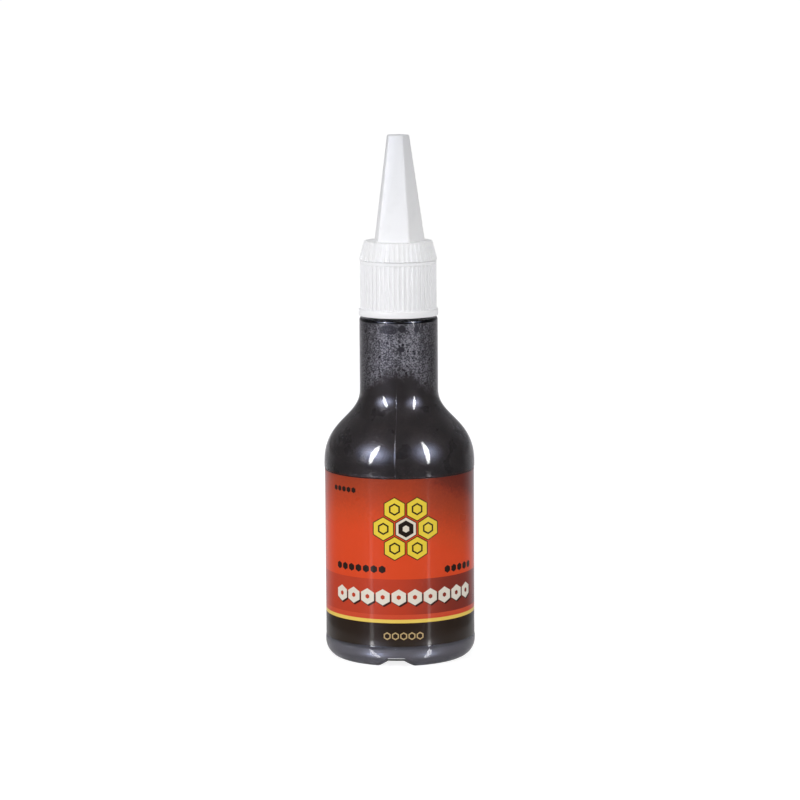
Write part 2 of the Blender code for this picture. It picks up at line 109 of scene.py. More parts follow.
def seen_directly(tree):
    """1 for what the lens sees, also in a mirror or through the bottle, and 0 for what only lights a
    surface."""
    path = add_node(tree, "LightPath")
    looks = add_node(tree, "Math", {0: path.outputs["Is Camera Ray"], 1: path.outputs["Is Glossy Ray"]},
                     operation="MAXIMUM")
    looks = add_node(tree, "Math", {0: looks, 1: path.outputs["Is Transmission Ray"]}, operation="MAXIMUM")
    first = add_node(tree, "Math", {0: path.outputs["Diffuse Depth"], 1: 0.5}, operation="LESS_THAN")
    return add_node(tree, "Math", {0: looks, 1: first}, operation="MULTIPLY")


def mesh_of(name, places, faces):
    mesh = bpy.data.meshes.new(name)
    mesh.from_pydata(places, [], faces)
    return mesh


def turned(name, outline, columns, lift=None, closed=True):
    """Sweeps an outline round Z, with its vertices in columns at the given angles. Points on the axis are
    one."""
    places, rows = [], []
    for radius, height in outline:
        if radius < 1e-7:
            rows.append([len(places)] * len(columns))
            places.append((0.0, 0.0, height))
            continue
        rows.append(list(range(len(places), len(places) + len(columns))))
        for angle in columns:
            far = radius + (lift(radius, height, angle) if lift else 0.0)
            places.append((far * math.cos(angle), far * math.sin(angle), height))
    faces = []
    pairs = list(zip(rows, rows[1:] + rows[:1])) if closed else list(zip(rows, rows[1:]))
    for upper, lower in pairs:
        for here in range(len(columns)):
            there = (here + 1) % len(columns)
            corners = [upper[here], lower[here], lower[there], upper[there]]
            corners = [c for place, c in enumerate(corners) if c != corners[place - 1]]
            if len(set(corners)) > 2:
                faces.append(corners)
    return mesh_of(name, places, faces)


def even_columns(count):
    return [math.tau * step / count for step in range(count)]


def link(name, mesh, material=None):
    obj = bpy.data.objects.new(name, mesh)
    bpy.context.scene.collection.objects.link(obj)
    if material is not None:
        mesh.materials.append(material)
    return obj


def aimed_at_bottle(azimuth, elevation, lean, distance):
    """Where a tall lamp stands, turned to the bottle. Azimuth is from the camera."""
    turn = Matrix.Rotation(math.radians(azimuth), 4, "Z")
    turn = turn @ Matrix.Rotation(math.radians(90 - elevation), 4, "X")
    return (Matrix.Translation(LAMP_CENTRE) @ turn @ Matrix.Translation((0.0, 0.0, distance))
            @ Matrix.Rotation(math.radians(lean), 4, "Z"))


def add_softbox_light(name, place, width, height, radiance):
    """The light that a softbox gives, without its face."""
    lamp = bpy.data.lights.new(name, "AREA")
    lamp.shape = "RECTANGLE"
    lamp.size = width
    lamp.size_y = height
    lamp.energy = radiance * math.pi * width * height
    box = bpy.data.objects.new(name, lamp)
    bpy.context.scene.collection.objects.link(box)
    box.visible_glossy = False
    box.matrix_world = place


def add_softbox_face(name, place, core, glow, glow_share, radiance):
    """What gloss mirrors of a softbox: a hot oval core in a wide bluish glow, each with its (half width,
    half height). The cloth behind shows through where both have faded."""
    material, tree = new_material(name)
    spot = add_node(tree, "TexCoord").outputs["Object"]
    shader = add_node(tree, "BsdfTransparent")
    for (half_width, half_height), full, power, code, share in ((core, 0.7, 1.0, "#FFFFFF", 1.0),
                                                                (glow, 0.0, 3.0, "#D0D9FF", glow_share)):
        shrunk = add_node(tree, "VectorMath", {0: spot, 1: (1 / half_width, 1 / half_height, 1.0)},
                          operation="MULTIPLY")
        reach = add_node(tree, "VectorMath", {0: shrunk}, operation="LENGTH")
        fade = add_node(tree, "MapRange", {"Value": reach, "From Min": 1.0, "From Max": full})
        falling = add_node(tree, "Math", {0: fade, 1: power}, operation="POWER")
        strength = add_node(tree, "Math", {0: falling, 1: radiance * share}, operation="MULTIPLY")
        light = add_node(tree, "Emission", {"Color": linear(code), "Strength": strength})
        shader = add_node(tree, "AddShader", {0: shader, 1: light})
    add_node(tree, "OutputMaterial", {"Surface": shader})
    x, y = glow
    corners = [(-x, -y, 0.0), (x, -y, 0.0), (x, y, 0.0), (-x, y, 0.0)]
    face = link(name, mesh_of(name, corners, [(0, 1, 2, 3)]), material)
    face.matrix_world = place
    face.visible_camera = False
    face.visible_diffuse = False
    face.visible_shadow = False


scene = bpy.context.scene
scene.view_settings.view_transform = "Standard"

# Matt white board: soft shadow under the bottle, white everywhere else, also in mirrors and through the
# plastic.
white_board, tree = new_material("white_board")
lit_board = add_node(tree, "BsdfDiffuse", {"Color": linear("#E7E7E7")})
shaded_board = add_node(tree, "BsdfDiffuse", {"Color": linear("#AAAAAA")})
board_glow = add_node(tree, "Emission", {"Color": linear("#FFFFFF"), "Strength": WHITE_GLOW})
white_view = add_node(tree, "AddShader", {0: shaded_board, 1: board_glow})
mirrored = add_node(tree, "Math", {0: add_node(tree, "LightPath").outputs["Is Glossy Ray"], 1: BOARD_SHINE},
                    operation="MULTIPLY")
shine = add_node(tree, "BsdfAnisotropic", {"Color": linear("#FFFFFF"), "Roughness": 0.1})
shiny_view = add_node(tree, "MixShader", {0: mirrored, 1: white_view, 2: shine})
board = add_node(tree, "MixShader", {0: seen_directly(tree), 1: lit_board, 2: shiny_view})
add_node(tree, "OutputMaterial", {"Surface": board})
floor_rim = [(FLOOR_RADIUS * math.cos(angle), FLOOR_RADIUS * math.sin(angle), 0.0)
             for angle in even_columns(FLOOR_STEPS)]
floor = link("white_floor", mesh_of("white_floor", floor_rim, [list(range(FLOOR_STEPS))]), white_board)

# Dark cloth on a frame and on the table, a little shiny, which only the gloss sees. It gets lighter towards
# the back, most of all on the table.
dark_cloth, tree = new_material("dark_cloth")
place = add_node(tree, "TexCoord").outputs["Object"]
direction = add_node(tree, "VectorMath", {0: place}, operation="NORMALIZE")
axes = add_node(tree, "SeparateXYZ", {0: direction})
cloth_light = add_node(tree, "MapRange",
                       {"Value": axes.outputs["Y"], "From Min": 0.40, "From Max": 0.95,
                        "To Min": CLOTH_LIGHT, "To Max": CLOTH_LIGHT_BEHIND})
table_share = add_node(tree, "MapRange",
                       {"Value": axes.outputs["Z"], "From Min": 0.1, "From Max": 0.0, "To Min": 1.0,
                        "To Max": 2.7})
cloth_light = add_node(tree, "Math", {0: cloth_light, 1: table_share}, operation="MULTIPLY")
cloth = add_node(tree, "Emission", {"Color": linear("#FAF8FD"), "Strength": cloth_light})
shine = add_node(tree, "BsdfAnisotropic", {"Color": linear("#FFFFFF"), "Roughness": 0.1})
shiny_cloth = add_node(tree, "MixShader", {0: CLOTH_SHINE, 1: cloth, 2: shine})
add_node(tree, "OutputMaterial", {"Surface": shiny_cloth})
tent_angles = [math.pi / 2 * ring / TENT_RINGS for ring in range(1, TENT_RINGS + 1)]
tent_outline = [(0.0, CLOTH_RADIUS + TENT_LIFT)]
tent_outline += [(CLOTH_RADIUS * math.sin(a), CLOTH_RADIUS * math.cos(a) + TENT_LIFT) for a in tent_angles]
tent_outline.append((CLOTH_EDGE_RADIUS, TABLE_CLOTH_Z))
tent_mesh = turned("dark_cloth_tent", tent_outline, even_columns(TENT_STEPS), closed=False)
tent = link("dark_cloth_tent", tent_mesh, dark_cloth)
tent.visible_camera = False
tent.visible_diffuse = False
tent.visible_transmission = False
tent.visible_shadow = False

room = bpy.data.worlds.new("white_room")
scene.world = room
room.use_nodes = True
tree = room.node_tree
tree.nodes.clear()
strength = add_node(tree, "MapRange", {"Value": seen_directly(tree), "To Min": ROOM_LIGHT, "To Max": 1.0})
daylight = add_node(tree, "Background", {"Color": linear("#FFFFFF"), "Strength": strength})
add_node(tree, "OutputWorld", {"Surface": daylight})

#                                                   azimuth elevation lean distance
add_softbox_light("left_softbox", aimed_at_bottle(-56.0, 25.8, -9.0, 0.75), 0.110, 0.66, 10.6)
add_softbox_light("right_softbox", aimed_at_bottle(49.0, 26.5, -4.0, 0.75), 0.100, 0.70, 7.2)
add_softbox_face("left_softbox_face", aimed_at_bottle(-42.0, 22.5, -9.0, 0.72), (0.062, 0.29), (0.60, 0.42),
                 0.62, 20.0)
add_softbox_face("right_softbox_face", aimed_at_bottle(46.0, 25.0, -4.0, 0.72), (0.054, 0.34), (0.50, 0.45),
                 0.42, 20.0)

lens = bpy.data.cameras.new("camera")
lens.sensor_width = SENSOR_WIDTH
lens.lens = PICTURE_FOCAL_PIXELS * SENSOR_WIDTH / PICTURE_SIDE
lens.clip_start = 0.05
lens.clip_end = 60.0
camera = bpy.data.objects.new("camera", lens)
scene.collection.objects.link(camera)
camera.matrix_world = (
    Matrix.Translation(AIM)
    @ Matrix.Rotation(math.pi / 2 - CAMERA_ELEVATION, 4, "X")
    @ Matrix.Translation((0.0, 0.0, CAMERA_DISTANCE))
    @ Matrix.Rotation(CAMERA_ROLL, 4, "Z")
)
scene.camera = camera


# Bottle: blow-moulded clear polyester with a threaded mouth. The two halves of the mould leave a fine
# raised line up its front and back, and the weld of the base is kept off the table by a channel along that
# line.
BODY_R = 0.02105
BODY_HEIGHT = 0.0550
SHOULDER_TOP_Z = 0.0755
SHOULDER_HANDLE = 0.0120
NECK_HANDLE = 0.0081
NECK_R = 0.01095
NECK_TOP_Z = 0.0960
NECK_EDGE_RADIUS = 0.0010
HEEL_RADIUS = 0.0040
HEEL_HEIGHT = 0.0046
FOOT_RING_WIDTH = 0.0017
PUSH_UP = 0.0012
WALL = 0.0008
INNER_BODY_R = 0.0198
LIP_Z = 0.1087
FINISH_R = 0.0078
THREAD_R = 0.00885
BORE_R = 0.00625
LIP_ROUND = 0.0004
LEDGE_DROP = 0.0013
FIT_CLEARANCE = 0.0003

LABEL_LOW_Z = 0.00625
LABEL_TOP_Z = 0.0531
LABEL_R = 0.02092
LABEL_THICKNESS = 0.00012
LABEL_GAP = 0.00001
PANEL_R = LABEL_R - LABEL_THICKNESS - LABEL_GAP
PANEL_MARGIN = 0.0003
PANEL_SLOPE = 0.00026
PANEL_EASE = 0.0003
PANEL_EASE_DEPTH = 0.00003

THREAD_PITCH = 0.003175
THREAD_START_Z = NECK_TOP_Z + 0.0026
THREAD_TURNS = 2.0
THREAD_ROOT_WIDTH = 0.0020
THREAD_CREST_WIDTH = 0.0009
THREAD_RUN_OUT = math.radians(40)
THREAD_SUNK = 0.0004
THREAD_STEPS_A_TURN = 60

PARTING_TURN = math.radians(-3.5)
PARTING_ANGLES = (PARTING_TURN - math.pi / 2, PARTING_TURN + math.pi / 2)
PARTING_RISE = 0.00004
PARTING_HALF_WIDTH = math.radians(1.4)
PARTING_LEAST_R = FINISH_R + 0.0015
PARTING_TOP_Z = NECK_TOP_Z - 0.0012
PARTING_GAP_BELOW = 0.001        # bare skin between the line and the label
PARTING_GAP_ABOVE = 0.0006
PARTING_SHAPE = {-0.7: 0.0, -0.42: 0.25, -0.22: 0.8, 0.0: 1.0, 0.22: 0.8, 0.42: 0.25, 0.7: 0.0}  # by degrees
CHANNEL_WIDTH = 0.0106
CHANNEL_TOP_WIDTH = 0.0044
CHANNEL_DEPTH = 0.00215
CHANNEL_OVERSHOOT = 0.001
BOTTLE_COLUMNS = 144
CORE_COLUMNS = 96
SHARP_ANGLE = math.radians(35)


def bezier(start, start_handle, end_handle, end, steps):
    """Points of a cubic curve, both ends included."""
    points = []
    for step in range(steps + 1):
        t = step / steps
        weights = ((1 - t) ** 3, 3 * t * (1 - t) ** 2, 3 * t * t * (1 - t), t ** 3)
        points.append(tuple(sum(w * c[axis] for w, c in zip(weights, (start, start_handle, end_handle, end)))
                            for axis in (0, 1)))
    return points


def arc(centre, radius, start, end, steps):
    """Points of an arc. Angles in degrees run from the outward direction towards the upward one."""
    angles = [math.radians(start + (end - start) * step / steps) for step in range(steps + 1)]
    return [(centre[0] + radius * math.cos(a), centre[1] + radius * math.sin(a)) for a in angles]


def inset(outline, distance):
    """Moves an outline that runs down the outside, and in along the base, into the wall."""
    normals = []
    for first, second in zip(outline, outline[1:]):
        along = Vector(second) - Vector(first)
        normals.append(Vector((along.y, -along.x)).normalized())
    moved = []
    for index, point in enumerate(outline):
        before = normals[max(index - 1, 0)]
        after = normals[min(index, len(normals) - 1)]
        middle = (before + after).normalized()
        place = Vector(point) + middle * (distance / middle.dot(before))
        moved.append((place.x if point[0] > 0.0 else 0.0, place.y))
    return moved


def smooth(mesh, angle=SHARP_ANGLE):
    mesh.shade_smooth()
    mesh.set_sharp_from_angle(angle=angle)


def evaluated(obj):
    """The mesh that an object's modifiers make, with the modifiers taken off."""
    graph = bpy.context.evaluated_depsgraph_get()
    mesh = bpy.data.meshes.new_from_object(obj.evaluated_get(graph), depsgraph=graph)
    obj.modifiers.clear()
    return mesh


def cut_or_join(target, others):
    """Applies boolean steps to a piece, and removes the shapes that were used for them."""
    for other, operation in others:
        step = target.modifiers.new(operation.title(), "BOOLEAN")
        step.operation = operation
        step.solver = "EXACT"
        step.object = other
    target.data = evaluated(target)
    for other, _ in others:
        bpy.data.objects.remove(other, do_unlink=True)


def thread_width(radius):
    share = (radius - FINISH_R) / (THREAD_R - FINISH_R)
    return THREAD_ROOT_WIDTH + (THREAD_CREST_WIDTH - THREAD_ROOT_WIDTH) * share


def lofted(name, rings, flipped=False):
    """A closed solid through rings of equally many points, with a flat face on each end."""
    count, last = len(rings[0]), len(rings[0]) * (len(rings) - 1)
    faces = []
    for low in range(0, last, count):
        for corner in range(count):
            after = (corner + 1) % count
            faces.append([low + corner, low + count + corner, low + count + after, low + after])
    faces += [list(range(count)), list(range(last, last + count))[::-1]]
    return mesh_of(name, [place for ring in rings for place in ring],
                   [face[::-1] for face in faces] if flipped else faces)


def thread_mesh(name, wall_radius, crest_radius, width_at, start_z, turns):
    """A helical ridge whose foot is buried in the wall, and whose crest sinks away at both ends."""
    into_wall = math.copysign(THREAD_SUNK, wall_radius - crest_radius)
    foot_radius = wall_radius + into_wall
    sunk_crest = wall_radius + into_wall / 2
    steps = round(THREAD_STEPS_A_TURN * turns)
    length = math.tau * turns
    rings = []
    for step in range(steps + 1):
        angle = length * step / steps
        share = min(1.0, min(angle, length - angle) / THREAD_RUN_OUT)
        crest = sunk_crest + (crest_radius - sunk_crest) * share
        height = start_z + THREAD_PITCH * angle / math.tau
        section = (
            (foot_radius, -width_at(foot_radius) / 2),
            (crest, -width_at(crest) / 2),
            (crest, width_at(crest) / 2),
            (foot_radius, width_at(foot_radius) / 2),
        )
        rings.append([(r * math.cos(angle), r * math.sin(angle), height + rise) for r, rise in section])
    return lofted(name, rings, flipped=crest_radius < wall_radius)


def channel_bar(name, rise):
    """A bar with the section of the relief channel, lifted by a rise, along the parting plane."""
    spread = (CHANNEL_WIDTH - CHANNEL_TOP_WIDTH) / CHANNEL_DEPTH
    low, high, reach = rise - CHANNEL_OVERSHOOT, rise + CHANNEL_DEPTH, BODY_R + CHANNEL_OVERSHOOT
    wide, narrow = CHANNEL_WIDTH / 2 + spread * CHANNEL_OVERSHOOT / 2, CHANNEL_TOP_WIDTH / 2
    corners = [(wide, low), (narrow, high), (-narrow, high), (-wide, low)]
    turn = Matrix.Rotation(PARTING_TURN, 3, "Z")
    rings = [[turn @ Vector((x, y, z)) for x, z in corners] for y in (-reach, reach)]
    return link(name, lofted(name, rings))


def parting_lift(radius, height, angle):
    """How far the parting line stands out of the skin, at a vertex of the outside."""
    if radius < PARTING_LEAST_R or height > PARTING_TOP_Z or height < CHANNEL_DEPTH:
        return 0.0
    if height < HEEL_HEIGHT or LABEL_LOW_Z - PARTING_GAP_BELOW < height < LABEL_TOP_Z + PARTING_GAP_ABOVE:
        return 0.0
    for middle in PARTING_ANGLES:
        off = math.degrees((angle - middle + math.pi) % math.tau - math.pi)
        for step, share in PARTING_SHAPE.items():
            if abs(off - step) < 0.01:
                return PARTING_RISE * share
    return 0.0


# Clear blow-moulded PET: water-clear and glossy, with the slow ripple that the blown wall keeps, faint
# smears of dust on it, and a trace of violet in its thick parts. Lamps shine through it onto what it holds.
clear_pet, tree = new_material("clear_blown_pet")
place = add_node(tree, "TexCoord").outputs["Object"]
ripple = add_node(tree, "TexNoise", {"Vector": place, "Scale": 110.0, "Detail": 2.0, "Roughness": 0.4})
grain = add_node(tree, "TexNoise", {"Vector": place, "Scale": 900.0, "Detail": 2.0})
relief = add_node(tree, "Mix", {"Factor": 0.12, "A": ripple, "B": grain})
bump = add_node(tree, "Bump", {"Strength": 0.2, "Distance": 0.00012, "Height": relief})
smear = add_node(tree, "TexNoise", {"Vector": place, "Scale": 260.0, "Detail": 5.0, "Roughness": 0.65})
gloss = add_node(tree, "MapRange",
                 {"Value": smear, "From Min": 0.35, "From Max": 0.75, "To Min": 0.035, "To Max": 0.11})
plastic = add_node(tree, "BsdfPrincipled", {
    "Base Color": linear("#F2F0F4"), "Roughness": gloss, "IOR": 1.575, "Transmission Weight": 1.0,
    "Normal": bump,
})
lamp_light = add_node(tree, "BsdfTransparent", {"Color": linear("#EAEAF2")})
path = add_node(tree, "LightPath")
let_through = add_node(tree, "MixShader", {0: path.outputs["Is Shadow Ray"], 1: plastic, 2: lamp_light})
add_node(tree, "OutputMaterial", {"Surface": let_through})

parting_columns = [middle + math.radians(step) for middle in PARTING_ANGLES for step in PARTING_SHAPE]
columns = parting_columns + [
    angle for angle in even_columns(BOTTLE_COLUMNS)
    if all(abs((angle - middle + math.pi) % math.tau - math.pi) > PARTING_HALF_WIDTH
           for middle in PARTING_ANGLES)
]
bottle_columns = sorted(angle % math.tau for angle in columns)


def shoulder_line(body_radius, steps=40):
    return bezier((NECK_R, SHOULDER_TOP_Z), (NECK_R, SHOULDER_TOP_Z - NECK_HANDLE),
                  (body_radius, BODY_HEIGHT + SHOULDER_HANDLE), (body_radius, BODY_HEIGHT), steps)


def base_line(body_radius):
    """The heel, the flat ring and the domed middle."""
    ring_outer = body_radius - HEEL_RADIUS
    ring_inner = ring_outer - FOOT_RING_WIDTH
    round_heel = arc((ring_outer, HEEL_RADIUS), HEEL_RADIUS, 0.0, -90.0, 16)
    heel = [(radius, height * HEEL_HEIGHT / HEEL_RADIUS) for radius, height in round_heel]
    dome = bezier((ring_inner, 0.0), (ring_inner * 0.8, PUSH_UP), (ring_inner * 0.4, PUSH_UP),
                  (0.0, PUSH_UP), 12)
    return heel + dome


def inner_line(top_z, distance):
    """The inside of the bottle, or the skin of its fill, from a height in the neck to the axis."""
    body_radius = INNER_BODY_R + WALL
    return inset([(NECK_R, top_z)] + shoulder_line(body_radius) + base_line(body_radius), distance)


mouth = arc((FINISH_R - LIP_ROUND, LIP_Z - LIP_ROUND), LIP_ROUND, 90.0, 0.0, 4) + [(FINISH_R, NECK_TOP_Z)]
neck_edge = arc((NECK_R - NECK_EDGE_RADIUS, NECK_TOP_Z - NECK_EDGE_RADIUS), NECK_EDGE_RADIUS, 90.0, 0.0, 8)
panel_top_z = LABEL_TOP_Z + PANEL_MARGIN
panel_low_z = LABEL_LOW_Z - PANEL_MARGIN
panel = [
    (BODY_R, panel_top_z + PANEL_SLOPE + PANEL_EASE),
    (BODY_R - PANEL_EASE_DEPTH, panel_top_z + PANEL_SLOPE),
    (PANEL_R, panel_top_z),
    (PANEL_R, panel_low_z),
    (BODY_R - PANEL_EASE_DEPTH, panel_low_z - PANEL_SLOPE),
    (BODY_R, panel_low_z - PANEL_SLOPE - PANEL_EASE),
]
outside = mouth + neck_edge + shoulder_line(BODY_R) + panel + base_line(BODY_R)
inside = [(BORE_R, LIP_Z), (BORE_R, NECK_TOP_Z - FIT_CLEARANCE)] + inner_line(NECK_TOP_Z - LEDGE_DROP, WALL)
bottle_mesh = turned("clear_bottle", outside + inside[::-1], bottle_columns, lift=parting_lift)
bottle = link("clear_bottle", bottle_mesh, clear_pet)

helix = thread_mesh("bottle_thread", FINISH_R, THREAD_R, thread_width, THREAD_START_Z, THREAD_TURNS)
thread = link("bottle_thread", helix)
core_outline = inset([(INNER_BODY_R + WALL, BODY_HEIGHT)] + base_line(INNER_BODY_R + WALL), WALL / 2)
core = link("heel_core",
            turned("heel_core", [(0.0, BODY_HEIGHT)] + core_outline, even_columns(CORE_COLUMNS)))
ridge = channel_bar("channel_ridge", WALL)
cut_or_join(ridge, [(core, "INTERSECT")])
cut_or_join(bottle,
            [(thread, "UNION"), (ridge, "UNION"), (channel_bar("channel_cutter", 0.0), "DIFFERENCE")])
smooth(bottle.data)
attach(bottle, "bottle")
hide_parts("bottle")


# Powder: about 36 g of fine natural graphite, settled to the foot of the neck and heaped a little. It
# clings to the wall, so the plastic shows it right up to the outline of the bottle.
POWDER_TOP_Z = 0.0757
POWDER_HEAP = 0.0062
CLING = 0.00003
FILL_COLUMNS = 128

# Graphite, ground and settled: near black with a cool soft sheen where it is pressed on the wall, in grains
# too fine to see, drawn at 0.4 mm so that they do, with a few flakes painted lighter as painted glints.
# It is painted paler in the heel, a painted reflection of the white board.
graphite, tree = new_material("settled_graphite_powder")
place = add_node(tree, "TexCoord").outputs["Object"]
grains = add_node(tree, "TexNoise", {"Vector": place, "Scale": 2500.0, "Detail": 2.0})
drifts = add_node(tree, "TexNoise", {"Vector": place, "Scale": 180.0, "Detail": 4.0})
mottle = add_node(tree, "Mix", {"Factor": 0.45, "A": grains, "B": drifts})
tone = add_node(tree, "MapRange", {"Value": mottle, "From Min": 0.35, "From Max": 0.65})
colour = add_node(tree, "Mix", {"Factor": tone, "A": linear("#110F0D"), "B": linear("#25201C")},
                  data_type="RGBA")
# Painted glints: a few flakes are painted lighter, standing in for the light they catch.
flake_glint_cells = add_node(tree, "TexVoronoi", {"Vector": place, "Scale": 1400.0})
painted_flake_glint = add_node(tree, "Math", {0: flake_glint_cells.outputs["Distance"], 1: 0.12}, operation="LESS_THAN")
with_painted_glints = add_node(tree, "Mix", {"Factor": painted_flake_glint, "A": colour, "B": linear("#403D40")}, data_type="RGBA")
axes = add_node(tree, "SeparateXYZ", {0: place})
# Painted reflection: the powder is painted paler in the heel, where the clear heel mirrors the white board.
heel_reflection_share = add_node(tree, "MapRange",
                      {"Value": axes.outputs["Z"], "From Min": 0.0066, "From Max": 0.0050})
with_heel_reflection = add_node(tree, "Mix", {"Factor": heel_reflection_share, "A": with_painted_glints, "B": linear("#5C5B5E")},
                  data_type="RGBA")
matt = add_node(tree, "MapRange",
                {"Value": drifts, "From Min": 0.35, "From Max": 0.65, "To Min": 0.26, "To Max": 0.34})
bump = add_node(tree, "Bump", {"Strength": 0.5, "Distance": 0.0001, "Height": grains})
powder_shader = add_node(tree, "BsdfPrincipled", {
    "Base Color": with_heel_reflection, "Roughness": matt, "IOR": 1.5, "Specular IOR Level": 0.2,
    "Specular Tint": linear("#EFE9F0"), "Normal": bump,
})
add_node(tree, "OutputMaterial", {"Surface": powder_shader})

skin = inner_line(POWDER_TOP_Z, WALL - CLING)
edge_r = skin[0][0]
heap = bezier((0.0, POWDER_TOP_Z + POWDER_HEAP), (edge_r * 0.3, POWDER_TOP_Z + POWDER_HEAP),
              (edge_r * 0.7, POWDER_TOP_Z + POWDER_HEAP * 0.3), (edge_r, POWDER_TOP_Z), 16)
powder = link("graphite_fill", turned("graphite_fill", heap[:-1] + skin, even_columns(FILL_COLUMNS)),
              graphite)
cut_or_join(powder, [(channel_bar("powder_channel", WALL - CLING), "DIFFERENCE")])
smooth(powder.data)
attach(powder, "bottle")
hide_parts("graphite_powder")


# Neck dust: a grey film of graphite that has settled on the inside of the neck each time the bottle was
# tipped. It is thin and patchy above, and runs into the dark of the fill below.
DUST_LOW_Z = 0.0712
DUST_TOP = (0.0070, 0.0954)
DUST_THICKNESS = 0.00006
DUST_GAP = 0.00001
BARE_PATCHES = (
    ((-0.0026, -0.0098, 0.0932), (0.0029, 0.003, 0.0013), 0.80),
    ((0.0009, -0.0101, 0.0934), (0.0009, 0.002, 0.0011), 0.95),
    ((0.0048, -0.0089, 0.0933), (0.0007, 0.002, 0.0012), 0.95),
    ((0.0007, -0.0101, 0.0877), (0.0009, 0.002, 0.0008), 1.0),
)                                # middle, half sizes and how bare: where a lump of dust has dropped off

# Graphite dust on the wall: grey, mottled in clots of half a millimetre, with small bare pits, shiny where
# it has been smeared. It thickens to the black of the fill in a dome at the front and the back.
neck_dust, tree = new_material("graphite_dust_film")
place = add_node(tree, "TexCoord").outputs["Object"]
specks = add_node(tree, "TexNoise", {"Vector": place, "Scale": 2600.0, "Detail": 2.0, "Roughness": 0.6})
clouds = add_node(tree, "TexNoise", {"Vector": place, "Scale": 420.0, "Detail": 3.0})
upright = add_node(tree, "Mapping", {"Vector": place, "Scale": (1.0, 1.0, 0.07)})
runs = add_node(tree, "TexNoise", {"Vector": upright, "Scale": 1300.0, "Detail": 2.0})
patchy = add_node(tree, "Mix", {"Factor": 0.5, "A": clouds, "B": runs})
mottle = add_node(tree, "Mix", {"Factor": 0.68, "A": patchy, "B": specks})
tone = add_node(tree, "MapRange", {"Value": mottle, "From Min": 0.45, "From Max": 0.58})
dusty = add_node(tree, "Mix", {"Factor": tone, "A": linear("#343334"), "B": linear("#868587")},
                 data_type="RGBA")
pits = add_node(tree, "TexVoronoi", {"Vector": place, "Scale": 900.0})
pit_size = add_node(tree, "MapRange",
                    {"Value": clouds, "From Min": 0.48, "From Max": 0.60, "To Min": 0.0, "To Max": 0.36})
pit = add_node(tree, "Math", {0: pits.outputs["Distance"], 1: pit_size}, operation="LESS_THAN")
pitted = add_node(tree, "Mix", {"Factor": pit, "A": dusty, "B": linear("#1C1A1B")}, data_type="RGBA")
axes = add_node(tree, "SeparateXYZ", {0: place})
off_middle = add_node(tree, "Math", {0: axes.outputs["X"], 1: axes.outputs["X"]}, operation="MULTIPLY")
fall = add_node(tree, "MapRange", {"Value": off_middle, "From Max": 0.00009, "To Max": -0.0070})
drifts = add_node(tree, "TexNoise", {"Vector": place, "Scale": 230.0, "Detail": 5.0, "Roughness": 0.7})
wave = add_node(tree, "MapRange", {"Value": drifts, "To Min": 0.0768, "To Max": 0.0868})
edge = add_node(tree, "Math", {0: fall, 1: wave}, operation="ADD")
above = add_node(tree, "Math", {0: axes.outputs["Z"], 1: edge}, operation="SUBTRACT")
risen = add_node(tree, "MapRange", {"Value": above, "From Min": -0.0024, "From Max": 0.0030},
                 interpolation_type="SMOOTHSTEP")
thinned = add_node(tree, "MapRange", {"Value": axes.outputs["Z"], "From Min": 0.0722, "From Max": 0.0775})
# Painted shade: the film share falls towards both sides in X, so the neck is painted darker there.
painted_side_shade = add_node(tree, "MapRange",
                 {"Value": off_middle, "From Min": 0.000025, "From Max": 0.000072, "To Min": 1.0,
                  "To Max": 0.42})
film = add_node(tree, "Math", {0: risen, 1: thinned}, operation="MULTIPLY")
film = add_node(tree, "Math", {0: film, 1: painted_side_shade}, operation="MULTIPLY")
colour = add_node(tree, "Mix", {"Factor": film, "A": linear("#1F1B18"), "B": pitted}, data_type="RGBA")
for middle, half_sizes, bareness in BARE_PATCHES:
    from_middle = add_node(tree, "VectorMath", {0: place, 1: middle}, operation="SUBTRACT")
    shrunk = add_node(tree, "VectorMath", {0: from_middle, 1: half_sizes}, operation="DIVIDE")
    reach = add_node(tree, "VectorMath", {0: shrunk}, operation="LENGTH")
    bare = add_node(tree, "MapRange",
                    {"Value": reach, "From Min": 1.15, "From Max": 0.85, "To Max": bareness})
    colour = add_node(tree, "Mix", {"Factor": bare, "A": colour, "B": linear("#2B2A2B")}, data_type="RGBA")
lustre = add_node(tree, "Math", {0: film, 1: 0.4}, operation="MULTIPLY")
relief = add_node(tree, "Math", {0: mottle, 1: film}, operation="MULTIPLY")
bump = add_node(tree, "Bump", {"Strength": 0.4, "Distance": 0.0001, "Height": relief})
dust_shader = add_node(tree, "BsdfPrincipled", {
    "Base Color": colour, "Metallic": lustre, "Roughness": 0.34, "IOR": 1.5, "Specular IOR Level": 0.2,
    "Specular Tint": linear("#EFE9F0"), "Normal": bump,
})
add_node(tree, "OutputMaterial", {"Surface": dust_shader})

dusted_wall = inner_line(NECK_TOP_Z - LEDGE_DROP, WALL - CLING - DUST_GAP)
neck_skin = [point for point in dusted_wall if point[1] > DUST_LOW_Z]
dust_outside = [(DUST_TOP[0] + CLING, DUST_TOP[1])] + neck_skin
dust_inside = [(radius - DUST_THICKNESS, height) for radius, height in dust_outside]
dust = link("neck_dust", turned("neck_dust", dust_outside + dust_inside[::-1], even_columns(FILL_COLUMNS)),
            neck_dust)
smooth(dust.data)
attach(dust, "bottle")


# Label: a strip of printed film, wrapped round the body in its panel, its two ends 2 mm apart at the back.
LABEL_SEAM = 0.0020
LABEL_COLUMNS = 256


